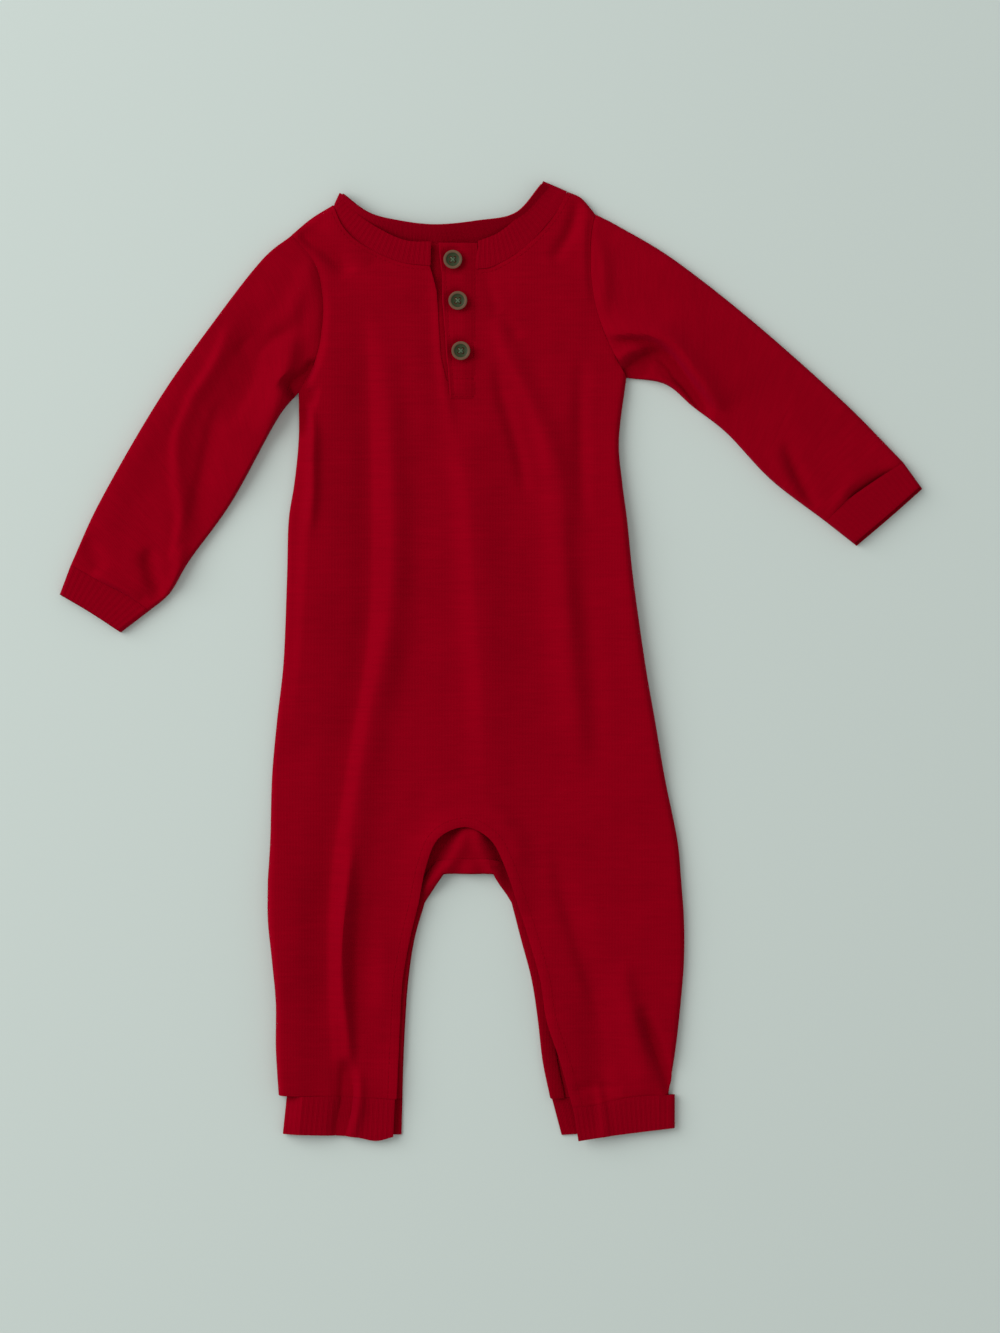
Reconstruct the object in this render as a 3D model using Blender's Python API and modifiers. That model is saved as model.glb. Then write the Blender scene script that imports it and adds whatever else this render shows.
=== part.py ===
"""A baby's henley romper, laid flat on its back with the sleeves spread.

Sizes are millimetres, and right and left are the wearer's. +Z is up, +Y runs to the neck and +X to
the wearer's left. A piece of cloth is a wall: a grid of points for its outer side, a second grid one
wall thickness behind it, and a rim between the two. The back rests flat, and the front lies on it.
"""
from collections import namedtuple
from math import cos, pi, sin

import bmesh
import bpy
import numpy as np

MM = 0.001  # metres in a millimetre

# Cloth
WALL = 1.4  # slub jersey
RIB_WALL = 1.4  # rib knit, down to the valleys between its ribs
RIB_RISE = 0.7
RIB_PITCH = 3.0
GAP = 0.3  # between two pieces at a seam
SEAM_LIFT = WALL + GAP  # underside of the front where it is sewn to the back
CROWN = 2.6  # how much higher the front lies inside its seams
CROWN_REACH = 6.0  # how fast it rises there
CUFF_LIFT = 3.2  # underside of the upper half of a rib strip
ROUND = 3.0  # from a tube's folded edge to where its cloth lies flat
ARMHOLE_FADE = 3  # how soon the body's columns turn straight beside an armhole
SLEEVE_FADE = 4  # how soon a sleeve's rows turn straight

# Grids: spaces across and along each piece
SHOULDER = 4
NECK = 10
SLIT = 2
LEG = 10
ARCH = 10
ARMHOLE_ROWS = 9
TORSO_ROWS = 19
LEG_ROWS = 10
BACK_SHOULDER = 2
BACK_NECK = 10
BACK_LEG = 5
BACK_TORSO_ROWS = 10
BACK_LEG_ROWS = 10
SLEEVE_ROWS = 14
SLEEVE_TOP = 9
SLEEVE_UNDER = 4
CUFF_ACROSS = 12
CUFF_BACK = 6
CUFF_CALM = 5  # a leg cuff's folds grow over this many spaces from its outer fold

# Shoulders and armholes, seen from above
RIGHT_NECK_POINT = (-94.4, 273.2)
RIGHT_TIP = (-119.3, 255.2)
RIGHT_ARMPIT = (-115, 161)
LEFT_NECK_POINT = (46.1, 281.2)
LEFT_TIP = (62.6, 268)
LEFT_ARMPIT = (81.5, 169.8)
RIGHT_SHOULDER = (RIGHT_TIP, (-107.6, 265), RIGHT_NECK_POINT)
LEFT_SHOULDER = (LEFT_NECK_POINT, (54.4, 277.4), LEFT_TIP)
RIGHT_ARMHOLE = (RIGHT_TIP, (-105, 237.5), (-100.5, 217), (-101, 199), (-104.6, 181), RIGHT_ARMPIT)
LEFT_ARMHOLE = (LEFT_TIP, (60, 252.5), (60, 232), (63.5, 210.5), (71, 190), LEFT_ARMPIT)

# The neck seam of the front runs down to the slit, and that of the back passes behind it.
RIGHT_NECK_SEAM = (RIGHT_NECK_POINT, (-88, 259.5), (-76.5, 249), (-54.3, 239), (-35.1, 236.4))
LEFT_NECK_SEAM = ((-9.9, 234.6), (2, 236.5), (20.7, 248), (37, 265.5), LEFT_NECK_POINT)
BACK_SEAM_POINTS = ((-84, 261), (-70, 253.5), (-33, 246.6), (5, 250.3), (29, 262))
BACK_NECK_SEAM = (RIGHT_NECK_POINT, *BACK_SEAM_POINTS, LEFT_NECK_POINT)
SLIT_END = ((-26.1, 167.6), (-9.9, 167.6))

# Torso and legs: the side seams at each height. Between the legs, the edges of the front and the back.
Section = namedtuple("Section", "y right_seam left_seam")
TORSO = (
    Section(133, -115, 77),
    Section(107, -117.5, 79),
    Section(84, -121, 82),
    Section(50, -122, 85.5),
    Section(0, -124, 92.5),
    Section(-36, -128, 98.7),
    Section(-70, -131, 104.5),
    Section(-107, -132, 112),
)
HIP = Section(-131, -133.5, 114.3)
LEGS = (
    Section(-155, -133.5, 116),
    Section(-180, -131, 116),
    Section(-205, -128.7, 114),
    Section(-232, -128.7, 111),
)
HEM = Section(-260, -127, 106.5)
Inseam = namedtuple("Inseam", "y right_front right_back left_back left_front")
INSEAMS = (
    Inseam(-145, -43, -39.4, 12.6, 16),
    Inseam(-167, -48.3, -45.6, 18.3, 23),
    Inseam(-191, -52.5, -49.2, 24.6, 29.7),
    Inseam(-215, -54, -51, 28.3, 33.5),
    Inseam(-240, -55.2, -52.2, 31.2, 41.7),
    Inseam(-262.3, -56.2, -52.8, 35.8, 46.5),
)
FRONT_ARCH = ((-43, -145), (-38.5, -123), (-31, -106), (-15, -99.3), (0, -107), (8.5, -123), (16, -145))
BACK_CROTCH = ((-39.4, -145), (-28, -127.7), (2, -127.7), (12.6, -145))
CROTCH_BAND = 9.0  # width of the tape along the back's inseam
TAPE_INSET = 0.6

# Sleeves: their two folded edges from the armhole out, then the cuff's seam and end, top fold first
Sleeve = namedtuple("Sleeve", "name armhole upper under seam end_line setback")
SLEEVES = (
    Sleeve(
        name="right",
        armhole=RIGHT_ARMHOLE,
        upper=(RIGHT_TIP, (-137, 240.6), (-165.3, 204.4), (-199, 156.6), (-233.7, 96.6), (-251.7, 57.6)),
        under=(RIGHT_ARMPIT, (-128.1, 144.6), (-155.1, 95.6), (-180.3, 60.6), (-192, 41), (-204.4, 30.3)),
        seam=((-251.7, 57.6), (-236, 48.8), (-218, 39.5), (-204.4, 30.3)),
        end_line=((-258.4, 39.8), (-239.8, 28.8), (-221.8, 17)),
        setback=0.6,
    ),
    Sleeve(
        name="left",
        armhole=LEFT_ARMHOLE,
        upper=(LEFT_TIP, (78, 260), (110.1, 240.6), (156.9, 204), (211, 156), (247.4, 119.2)),
        under=(LEFT_ARMPIT, (104.7, 166), (121.5, 152.4), (141.9, 136.4), (168.3, 108.6), (201, 83.6)),
        seam=((247.4, 119.2), (230, 108), (213.3, 96), (201, 83.6)),
        end_line=((259, 103.2), (240.8, 87), (219.6, 69)),
        setback=3.2,
    ),
)

# Leg cuffs: outer fold first; the front half ends short of the back half at the inseam.
LegCuff = namedtuple("LegCuff", "name outward top end back_top back_end")
LEG_CUFFS = (
    LegCuff(
        name="right",
        outward=(-1.0, 0.0),
        top=((-119.6, -261), (-88, -261.6), (-57.2, -262.9)),
        end=((-122, -283.4), (-98, -284.2), (-81, -285.2), (-68.7, -287.4), (-58.3, -285)),
        back_top=(-52.8, -262.9),
        back_end=(-53.4, -284),
    ),
    LegCuff(
        name="left",
        outward=(1.0, 0.06),
        top=((108, -260.4), (90, -260.9), (74, -263.4), (62, -266.4), (49.2, -267)),
        end=((108, -280), (89, -282.2), (71.1, -284.4), (52.6, -287.2)),
        back_top=(36.9, -262.9),
        back_end=(42.7, -284.3),
    ),
)

# Neckband: its free edge, each half from the centre front up to the shoulder fold, then the back
RIGHT_BAND_EDGE = ((-35.6, 251.1), (-50.1, 251.7), (-65.1, 258), (-80.1, 268.2), (-88.3, 279.4))
LEFT_BAND_EDGE = ((-7.0, 251.4), (4, 256), (14, 264), (24, 276.3), (30.6, 285.4))
BACK_EDGE_POINTS = ((-73, 268.3), (-55, 263.4), (-32.7, 261), (-7.5, 263.4), (15, 268))
BACK_BAND_EDGE = (RIGHT_BAND_EDGE[-1], *BACK_EDGE_POINTS, LEFT_BAND_EDGE[-1])
RIGHT_BAND_FOOT = (-91.5, 272.6)
LEFT_BAND_FOOT = (44.8, 279.3)
RIGHT_FOLD_OUT = (-0.888, 0.46)
LEFT_FOLD_OUT = (0.42, 0.907)
BAND_LIFT = 1.4  # how much higher the front half lies at the centre than at its folds

# Plackets: slit edges and the free edge of the upper one, neck end first
PLACKET_TOP = 250.2
PLACKET_OVERLAP = 2.4  # what the upper placket covers of the front beside and below the slit
FREE_EDGE = ((-30.3, 250.2), (-31.2, 238), (-26.1, 222.6), (-25.5, 198), (-24.3, 176), (-24.3, 156.6))
PLACKET_ROWS = 10
LAYER_GAP = 0.4

# Folds of the front and the sleeves: ridges rise and troughs fall, each fading out at both ends
Fold = namedtuple("Fold", "name start middle end rise width")
LEG_FOLDS = (
    Fold("long ridge, hip to shin", (-76, -20), (-97, -140), (-84, -235), 4.4, 11),
    Fold("trough inside the right leg", (-79, -120), (-84, -200), (-84, -275), -2.6, 6),
    Fold("ridge over the right hem", (-74, -180), (-76, -230), (-80, -292), 3.2, 6),
)
FRONT_FOLDS = (
    *LEG_FOLDS,
    Fold("long ridge, chest to hip", (-66, 185), (-65, 75), (-80, -40), 3.6, 11),
    Fold("centre ridge", (-32, 158), (-18, 60), (-14, -90), 3.4, 12),
    Fold("left chest ridge", (2, 190), (32, 120), (47, -15), 3.4, 11),
    Fold("left side trough", (50, 190), (49, 90), (60, -60), -2.4, 10),
    Fold("left hip ridge", (74, 60), (76, -40), (84, -150), 2.6, 13),
    Fold("right chest trough", (-47, 160), (-47, 90), (-50, 20), -2.2, 9),
    Fold("right side trough", (-92, 205), (-90, 165), (-95, 120), -2.2, 9),
    Fold("crease at the right armpit", (-110, 147), (-101, 122), (-104, 96), 2.6, 6),
    Fold("right shoulder trough", (-118, 257), (-101, 249), (-88, 232), -2.4, 7),
    Fold("left shoulder trough", (50, 279), (47, 260), (41, 240), -2.0, 6),
    Fold("left shoulder ridge", (55, 275), (49, 250), (57, 220), 2.6, 6),
    Fold("left thigh trough", (40, -132), (52, -165), (62, -205), -2.4, 7),
    Fold("left shin trough", (84, -195), (94, -228), (110, -262), -2.6, 6),
    Fold("left shin ridge", (72, -190), (80, -222), (96, -262), 2.6, 9),
    Fold("lift of the crotch arch", (-44, -150), (-13, -60), (16, -150), 2.4, 12),
)
SLEEVE_FOLDS = (
    Fold("right sleeve ridge", (-158, 215), (-192, 140), (-194, 52), 4.0, 9),
    Fold("right sleeve trough", (-174, 150), (-184, 105), (-190, 66), -2.2, 6),
    Fold("right sleeve inner ridge", (-118, 180), (-130, 152), (-150, 120), 2.6, 7),
    Fold("right sleeve outer ridge", (-150, 215), (-196, 150), (-232, 84), 2.2, 9),
    Fold("right sleeve end roll", (-244, 62), (-222, 50), (-202, 40), 2.2, 5),
    Fold("left sleeve seam ridge", (66, 258), (68, 228), (76, 196), 2.4, 5),
    Fold("left sleeve long ridge", (84, 240), (140, 190), (205, 130), 2.6, 14),
    Fold("left armpit roll", (84, 181), (110, 206), (130, 156), 3.2, 6),
    Fold("left armpit ledge", (82, 172), (104, 180), (129, 150), -2.4, 7),
    Fold("left forearm trough", (165, 118), (182, 108), (200, 97), -2.0, 6),
)

# Buttons: an outline from the middle of the face round the rim to the middle of the back
BUTTON_CENTRES = (("top", (-22.5, 240)), ("middle", (-19.5, 215.4)), ("bottom", (-17.7, 185.4)))
BUTTON_FLOOR = 1.5
BUTTON_RIM = ((4.3, 2.3), (5.1, 2.6), (5.8, 2.0), (6, 1.2), (5.2, 0))
BUTTON_PROFILE = ((0, BUTTON_FLOOR), (3.5, BUTTON_FLOOR), *BUTTON_RIM, (0, 0))
BUTTON_STEPS = 24
HOLE_RADIUS = 0.8
HOLE_OFFSET = 1.25
HOLE_SIDES = 8

Material = namedtuple("Material", "name colour roughness")
JERSEY = Material("red slub jersey", (0.238, 0.0015, 0.0075, 1), 0.9)
RIB = Material("red rib knit", (0.17, 0.0012, 0.007, 1), 0.95)
HORN = Material("brown horn plastic", (0.105, 0.065, 0.045, 1), 0.4)


# ---------------------------------------------------------------- curves and grids, seen from above

def straight(points, spaces):
    """Evenly spaced points along straight lines between the given ones."""
    points = np.array(points, dtype=float)
    reach = np.concatenate(([0.0], np.cumsum(np.linalg.norm(np.diff(points, axis=0), axis=1))))
    places = np.linspace(0, reach[-1], spaces + 1)
    return np.stack([np.interp(places, reach, column) for column in points.T], axis=-1)


def smooth(points, spaces):
    """Evenly spaced points along a smooth curve through the given ones."""
    points = np.array(points, dtype=float)
    padded = np.vstack([2 * points[0] - points[1], points, 2 * points[-1] - points[-2]])
    t = np.linspace(0, 1, 12, endpoint=False)[:, None]
    curve = []
    for before, start, end, after in zip(padded, padded[1:], padded[2:], padded[3:]):
        bend = 2 * before - 5 * start + 4 * end - after
        twist = -before + 3 * start - 3 * end + after
        curve.append(start + 0.5 * ((end - before) * t + bend * t**2 + twist * t**3))
    return straight(np.vstack([*curve, points[-1:]]), spaces)


def joined(*pieces):
    """Curves laid end to end, with each shared point once."""
    return np.vstack([pieces[0], *(piece[1:] for piece in pieces[1:])])


def fill(top, bottom, right, left, fade=1):
    """A grid between a top and a bottom row and a right and a left column.

    Straight columns would join the two rows. They take on the bends of the right and the left
    column, which a higher fade holds closer to those edges.
    """
    v = np.linspace(0, 1, len(right))[:, None, None]
    u = np.linspace(0, 1, len(top))[None, :, None]
    straight_columns = (1 - v) * top[None] + v * bottom[None]
    right_bend = right[:, None] - straight_columns[:, :1]
    left_bend = left[:, None] - straight_columns[:, -1:]
    return straight_columns + (1 - u) ** fade * right_bend + u**fade * left_bend


def distance_to(points, curve):
    """From each point to a curve: the distance, and how far along the curve the nearest place is."""
    start = curve[:-1]
    step = curve[1:] - start
    away = points[..., None, :] - start
    t = np.clip((away * step).sum(-1) / (step**2).sum(-1), 0, 1)
    distances = np.linalg.norm(away - t[..., None] * step, axis=-1)
    nearest = distances.argmin(-1)
    along = (nearest + np.take_along_axis(t, nearest[..., None], -1)[..., 0]) / len(step)
    return distances.min(-1), along


def fold_height(points, folds):
    """The height that the folds add at each point."""
    height = np.zeros(points.shape[:-1])
    for fold in folds:
        middle = 2 * np.array(fold.middle) - (np.array(fold.start) + fold.end) / 2
        t = np.linspace(0, 1, 9)[:, None]
        curve = (1 - t) ** 2 * fold.start + 2 * t * (1 - t) * middle + t**2 * fold.end
        distance, along = distance_to(points, curve)
        height += fold.rise * np.sin(pi * along) * np.exp(-((distance / fold.width) ** 2))
    return height


# ---------------------------------------------------------------- the body's cut

RIGHT_SIDE = (RIGHT_ARMPIT, *((row.right_seam, row.y) for row in TORSO), (HIP.right_seam, HIP.y))
LEFT_SIDE = (LEFT_ARMPIT, *((row.left_seam, row.y) for row in TORSO), (HIP.left_seam, HIP.y))
RIGHT_LEG_SIDE = (RIGHT_SIDE[-1], *((row.right_seam, row.y) for row in LEGS), (HEM.right_seam, HEM.y))
LEFT_LEG_SIDE = (LEFT_SIDE[-1], *((row.left_seam, row.y) for row in LEGS), (HEM.left_seam, HEM.y))
SIDE_SEAMS = (
    smooth(RIGHT_SIDE, 30),
    smooth(LEFT_SIDE, 30),
    smooth(RIGHT_LEG_SIDE, 12),
    smooth(LEFT_LEG_SIDE, 12),
    smooth(RIGHT_SHOULDER, 6),
    smooth(LEFT_SHOULDER, 6),
)
SLIT_MIDDLE = np.array(((-21, PLACKET_TOP), (-18, FREE_EDGE[-1][1])))
PLACKET_CALM = 22.0  # folds die out this close to the slit
HEM_CORNER = (48.9, -266.5)  # of the left leg, at the inseam

Cut = namedtuple("Cut", "yoke crotch right_inseam left_inseam left_hem leg torso_rows leg_rows")


def front_yoke():
    """The front above the armpits, with the slit down from the neck left open."""
    side = SHOULDER + NECK
    right_chest = straight((RIGHT_SIDE[0], SLIT_END[0]), side)
    left_chest = straight((SLIT_END[1], LEFT_SIDE[0]), side)
    yoke = np.full((ARMHOLE_ROWS + 1, 2 * side + SLIT + 1, 2), np.nan)
    yoke[:, : side + 1] = fill(
        joined(smooth(RIGHT_SHOULDER, SHOULDER), smooth(RIGHT_NECK_SEAM, NECK)),
        right_chest,
        smooth(RIGHT_ARMHOLE, ARMHOLE_ROWS),
        straight((RIGHT_NECK_SEAM[-1], SLIT_END[0]), ARMHOLE_ROWS),
        ARMHOLE_FADE,
    )
    yoke[:, side + SLIT :] = fill(
        joined(smooth(LEFT_NECK_SEAM, NECK), smooth(LEFT_SHOULDER, SHOULDER)),
        left_chest,
        straight((LEFT_NECK_SEAM[0], SLIT_END[1]), ARMHOLE_ROWS),
        smooth(LEFT_ARMHOLE, ARMHOLE_ROWS),
        ARMHOLE_FADE,
    )
    yoke[-1] = joined(right_chest, straight(SLIT_END, SLIT), left_chest)
    return yoke


def back_yoke():
    """The back above the armpits."""
    side = BACK_SHOULDER + BACK_NECK // 2
    middle = (RIGHT_SIDE[0][0] + LEFT_SIDE[0][0]) / 2, RIGHT_SIDE[0][1]
    top = joined(
        smooth(RIGHT_SHOULDER, BACK_SHOULDER),
        smooth(BACK_NECK_SEAM, BACK_NECK),
        smooth(LEFT_SHOULDER, BACK_SHOULDER),
    )
    chest = joined(straight((RIGHT_SIDE[0], middle), side), straight((middle, LEFT_SIDE[0]), side))
    return fill(top, chest, smooth(RIGHT_ARMHOLE, ARMHOLE_ROWS), smooth(LEFT_ARMHOLE, ARMHOLE_ROWS))


def front_cut():
    return Cut(
        yoke=front_yoke(),
        crotch=joined(
            straight((RIGHT_SIDE[-1], FRONT_ARCH[0]), LEG),
            smooth(FRONT_ARCH, ARCH),
            straight((FRONT_ARCH[-1], LEFT_SIDE[-1]), LEG),
        ),
        right_inseam=[(row.right_front, row.y) for row in INSEAMS],
        left_inseam=[*((row.left_front, row.y) for row in INSEAMS[:-1]), HEM_CORNER],
        left_hem=(HEM_CORNER, (62, -265.9), (74, -262.9), (90, -260.4), (HEM.left_seam, HEM.y)),
        leg=LEG,
        torso_rows=TORSO_ROWS,
        leg_rows=LEG_ROWS,
    )


def back_cut():
    return Cut(
        yoke=back_yoke(),
        crotch=joined(
            straight((RIGHT_SIDE[-1], BACK_CROTCH[0]), BACK_LEG),
            straight(BACK_CROTCH[:2], 1),
            straight(BACK_CROTCH[1:3], 2),
            straight(BACK_CROTCH[2:], 1),
            straight((BACK_CROTCH[-1], LEFT_SIDE[-1]), BACK_LEG),
        ),
        right_inseam=[(row.right_back, row.y) for row in INSEAMS],
        left_inseam=[(row.left_back, row.y) for row in INSEAMS],
        left_hem=((INSEAMS[-1].left_back, INSEAMS[-1].y), (HEM.left_seam, HEM.y)),
        leg=BACK_LEG,
        torso_rows=BACK_TORSO_ROWS,
        leg_rows=BACK_LEG_ROWS,
    )


def body_plan(cut):
    """A body panel seen from above, as one grid that has no points where there is no cloth."""
    hip_row = ARMHOLE_ROWS + cut.torso_rows
    plan = np.full((hip_row + cut.leg_rows + 1, len(cut.crotch), 2), np.nan)
    plan[: ARMHOLE_ROWS + 1] = cut.yoke
    sides = (smooth(RIGHT_SIDE, cut.torso_rows), smooth(LEFT_SIDE, cut.torso_rows))
    plan[ARMHOLE_ROWS : hip_row + 1] = fill(cut.yoke[-1], cut.crotch, *sides)
    right_hem = straight((RIGHT_LEG_SIDE[-1], cut.right_inseam[-1]), cut.leg)
    right_edges = (smooth(RIGHT_LEG_SIDE, cut.leg_rows), smooth(cut.right_inseam, cut.leg_rows))
    plan[hip_row:, : cut.leg + 1] = fill(cut.crotch[: cut.leg + 1], right_hem, *right_edges)
    left_hem = smooth(cut.left_hem, cut.leg)
    left_edges = (smooth(cut.left_inseam, cut.leg_rows), smooth(LEFT_LEG_SIDE, cut.leg_rows))
    plan[hip_row:, -cut.leg - 1 :] = fill(cut.crotch[-cut.leg - 1 :], left_hem, *left_edges)
    return plan


def front_lift(points):
    """Height of the front's underside."""
    to_seam = np.min([distance_to(points, seam)[0] for seam in SIDE_SEAMS], axis=0)
    rise = 1 - np.exp(-to_seam / CROWN_REACH)
    to_slit = distance_to(points, SLIT_MIDDLE)[0]
    calm = 1 - np.exp(-((to_slit / PLACKET_CALM) ** 4))
    return SEAM_LIFT + rise * (CROWN + calm * fold_height(points, FRONT_FOLDS))


def raised(plan, height):
    """The plan's points at the given height."""
    return np.concatenate([plan, np.broadcast_to(height, plan.shape[:2])[..., None]], axis=-1)


# ---------------------------------------------------------------- solids

def grid_faces(number, around):
    """Four-sided faces between neighbouring points of a grid of point numbers."""
    if around:
        number = np.hstack([number, number[:, :1]])
    faces = np.stack([number[:-1, :-1], number[1:, :-1], number[1:, 1:], number[:-1, 1:]], axis=-1)
    return [tuple(int(corner) for corner in face) for face in faces.reshape(-1, 4) if face.min() >= 0]


def rim_edges(faces):
    """The edges that only one face has, in that face's direction."""
    edges = {edge for face in faces for edge in zip(face, face[1:] + face[:1])}
    return sorted(edge for edge in edges if edge[::-1] not in edges)


def inset(plan, gap):
    """The plan with the points on its edges moved in by the gap."""
    there = ~np.isnan(plan[..., 0])
    number = np.full(plan.shape[:2], -1)
    number[there] = np.arange(there.sum())
    points = plan[there]
    following = dict(rim_edges(grid_faces(number, around=False)))
    moved = points.copy()
    for before, point in following.items():
        tangent = points[following[point]] - points[before]
        inward = np.array((-tangent[1], tangent[0])) / np.linalg.norm(tangent)
        moved[point] = points[point] + gap * inward
    result = plan.copy()
    result[there] = moved
    return result


def collection(name):
    made = bpy.data.collections.new(name)
    bpy.context.scene.collection.children.link(made)
    return made


def shaded(made, look):
    """Gives an object its own material."""
    material = bpy.data.materials.new(f"{made.name}, {look.name}")
    material.use_nodes = True
    shader = material.node_tree.nodes["Principled BSDF"]
    shader.inputs["Base Color"].default_value = look.colour
    shader.inputs["Roughness"].default_value = look.roughness
    made.data.materials.append(material)
    return made


def wall(name, outer, inner, look, around=False):
    """A closed solid between two grids of points, which may meet themselves round a tube."""
    there = ~np.isnan(outer[..., 0])
    number = np.full(outer.shape[:2], -1)
    number[there] = np.arange(there.sum())
    count = int(there.sum())
    front = grid_faces(number, around)
    back = [tuple(corner + count for corner in face[::-1]) for face in front]
    rim = [(end, start, start + count, end + count) for start, end in rim_edges(front)]
    mesh = bpy.data.meshes.new(name)
    mesh.from_pydata((np.vstack([outer[there], inner[there]]) * MM).tolist(), [], front + back + rim)
    cage = bmesh.new()
    cage.from_mesh(mesh)
    bmesh.ops.recalc_face_normals(cage, faces=cage.faces)
    cage.to_mesh(mesh)
    cage.free()
    made = bpy.data.objects.new(name, mesh)
    PIECES.objects.link(made)
    return shaded(made, look)


def make_body():
    front = inset(body_plan(front_cut()), GAP / 2)
    lift = front_lift(front)
    wall("front_body", raised(front, lift + WALL), raised(front, lift), JERSEY)
    back = inset(body_plan(back_cut()), GAP / 2)
    wall("back_body", raised(back, WALL), raised(back, 0), JERSEY)


def make_tape():
    """The band on the back's inseam: up one leg, across the crotch and down the other."""
    up = [(row.right_back, row.y) for row in reversed(INSEAMS)]
    down = [(row.left_back, row.y) for row in INSEAMS]
    edge = joined(smooth(up, 8), straight(BACK_CROTCH[:2], 1), straight(BACK_CROTCH[1:3], 3))
    edge = joined(edge, straight(BACK_CROTCH[2:], 1), smooth(down, 8))
    tangent = np.gradient(edge, axis=0)
    inward = np.stack([-tangent[:, 1], tangent[:, 0]], axis=-1) / np.linalg.norm(tangent, axis=1)[:, None]
    inward[[0, -1]] = ((-1, 0), (1, 0))
    plan = np.stack([edge + inward * TAPE_INSET, edge + inward * CROTCH_BAND])
    wall("inseam_tape", raised(plan, SEAM_LIFT + WALL), raised(plan, SEAM_LIFT), JERSEY)


# ---------------------------------------------------------------- sleeves and their cuffs

def tube_ring(row, lift, thickness, ribs):
    """One ring of a flattened tube round a row of plan points: outer and inner points.

    It runs from the row's first end over the top to its last end, and back along the floor.
    """
    reach = np.concatenate(([0.0], np.cumsum(np.linalg.norm(np.diff(row, axis=0), axis=1))))
    width = reach[-1]
    over = np.linspace(ROUND, width - ROUND, ribs * 2 + 1 if ribs else SLEEVE_TOP + 1)
    below = np.linspace(width - ROUND, ROUND, SLEEVE_UNDER + 1)
    places = np.concatenate(([0], over, [width], below))
    tops = slice(1, 1 + len(over))

    def at(distances):
        return np.stack([np.interp(distances, reach, column) for column in row.T], axis=-1)

    plan = at(places)
    edge_height = (SEAM_LIFT + thickness) / 2
    outer = np.column_stack([plan, np.zeros(len(plan))])
    inner = np.column_stack([at(np.clip(places, thickness, width - thickness)), 0 * places + thickness])
    height = lift(plan[tops], over, width)
    outer[tops, 2] = height + thickness
    inner[tops, 2] = height
    for edge in (0, 1 + len(over)):
        outer[edge, 2] = edge_height
        inner[edge, 2] = edge_height
    if ribs:
        outer[tops, 2][1::2] += RIB_RISE
        outer[2 : len(over) : 2, 2] += RIB_RISE
    return outer, inner


def sleeve_lift(points, places, width):
    rise = 1 - np.exp(-np.minimum(places, width - places) / CROWN_REACH)
    return SEAM_LIFT + rise * (CROWN + fold_height(points, SLEEVE_FOLDS))


def cuff_lift(points, places, width):
    return SEAM_LIFT + CROWN * (1 - np.exp(-np.minimum(places, width - places) / CROWN_REACH))


def square_to(row):
    """Unit vectors square to each point of a row, all to the same side."""
    tangent = np.gradient(row, axis=0)
    return np.stack([-tangent[:, 1], tangent[:, 0]], axis=-1) / np.linalg.norm(tangent, axis=1)[:, None]


def shift(row, towards, gap):
    """A row moved square to itself by the gap, to the side where another row lies."""
    normals = square_to(row)
    side = np.sign(((towards - row) * normals).sum())
    return row + side * gap * normals


def sleeve_plan(sleeve):
    """Rows of points from fold to fold, from the armhole out to the cuff."""
    folds = (smooth(sleeve.upper, SLEEVE_ROWS), smooth(sleeve.under, SLEEVE_ROWS))
    ends = (smooth(sleeve.armhole, ARMHOLE_ROWS), smooth(sleeve.seam, ARMHOLE_ROWS))
    return fill(*folds, *ends, SLEEVE_FADE).swapaxes(0, 1)


def make_sleeve(sleeve):
    plan = sleeve_plan(sleeve)
    plan[0] = shift(plan[0], plan[1], GAP / 2)
    plan[-1] = shift(plan[-1], plan[-2], GAP / 2)
    rings = [tube_ring(row, sleeve_lift, WALL, ribs=0) for row in plan]
    outer, inner = (np.stack(layer) for layer in zip(*rings))
    wall(f"sleeve_{sleeve.name}", outer, inner, JERSEY, around=True)


def make_sleeve_cuff(sleeve):
    seam = smooth(sleeve.seam, CUFF_ACROSS)
    end = smooth(sleeve.end_line, CUFF_ACROSS)
    seam = shift(seam, end, GAP / 2)
    ribs = round(np.linalg.norm(end[-1] - end[0]) / RIB_PITCH)
    rings = [tube_ring(row, cuff_lift, RIB_WALL, ribs) for row in (seam, (seam + end) / 2, end)]
    outer, inner = (np.stack(layer) for layer in zip(*rings))
    top = slice(1, 2 + 2 * ribs)
    back_in = (seam - end)[CUFF_ACROSS // 2]
    back_in = sleeve.setback * back_in / np.linalg.norm(back_in)
    outer[-1, top, :2] += back_in
    inner[-1, top, :2] += back_in
    wall(f"sleeve_cuff_{sleeve.name}", outer, inner, RIB, around=True)


# ---------------------------------------------------------------- rib strips that fold over

Half = namedtuple("Half", "edge seam lift side")  # side 1: the garment's outside is up, -1: its inside


def half_sections(half):
    """Outer and inner points of a strip that lies flat, ribbed on the side that faces up."""
    ribs = RIB_RISE * (np.arange(len(half.edge)) % 2)
    height = half.lift + RIB_WALL + ribs
    top = np.stack([np.column_stack([half.edge, height]), np.column_stack([half.seam, height])])
    under = top.copy()
    under[..., 2] = half.lift
    return (top, under) if half.side > 0 else (under, top)


def fold_sections(edge, seam, outward, high, low):
    """The strip's turn from a height to a lower one, about the line from its edge to its seam."""
    radius = (high - low) / 2
    outward = np.array((*outward, 0)) / np.linalg.norm(outward)
    outer = []
    inner = []
    for angle in (0.25 * pi, 0.5 * pi, 0.75 * pi):
        normal = outward * sin(angle) + np.array((0, 0, cos(angle)))
        centre = np.array((0, 0, (high + low) / 2)) + normal * radius
        ends = np.array([(*edge, 0), (*seam, 0)]) + centre
        outer.append(ends + normal * RIB_WALL / 2)
        inner.append(ends - normal * RIB_WALL / 2)
    return np.stack(outer, axis=1), np.stack(inner, axis=1)


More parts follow.
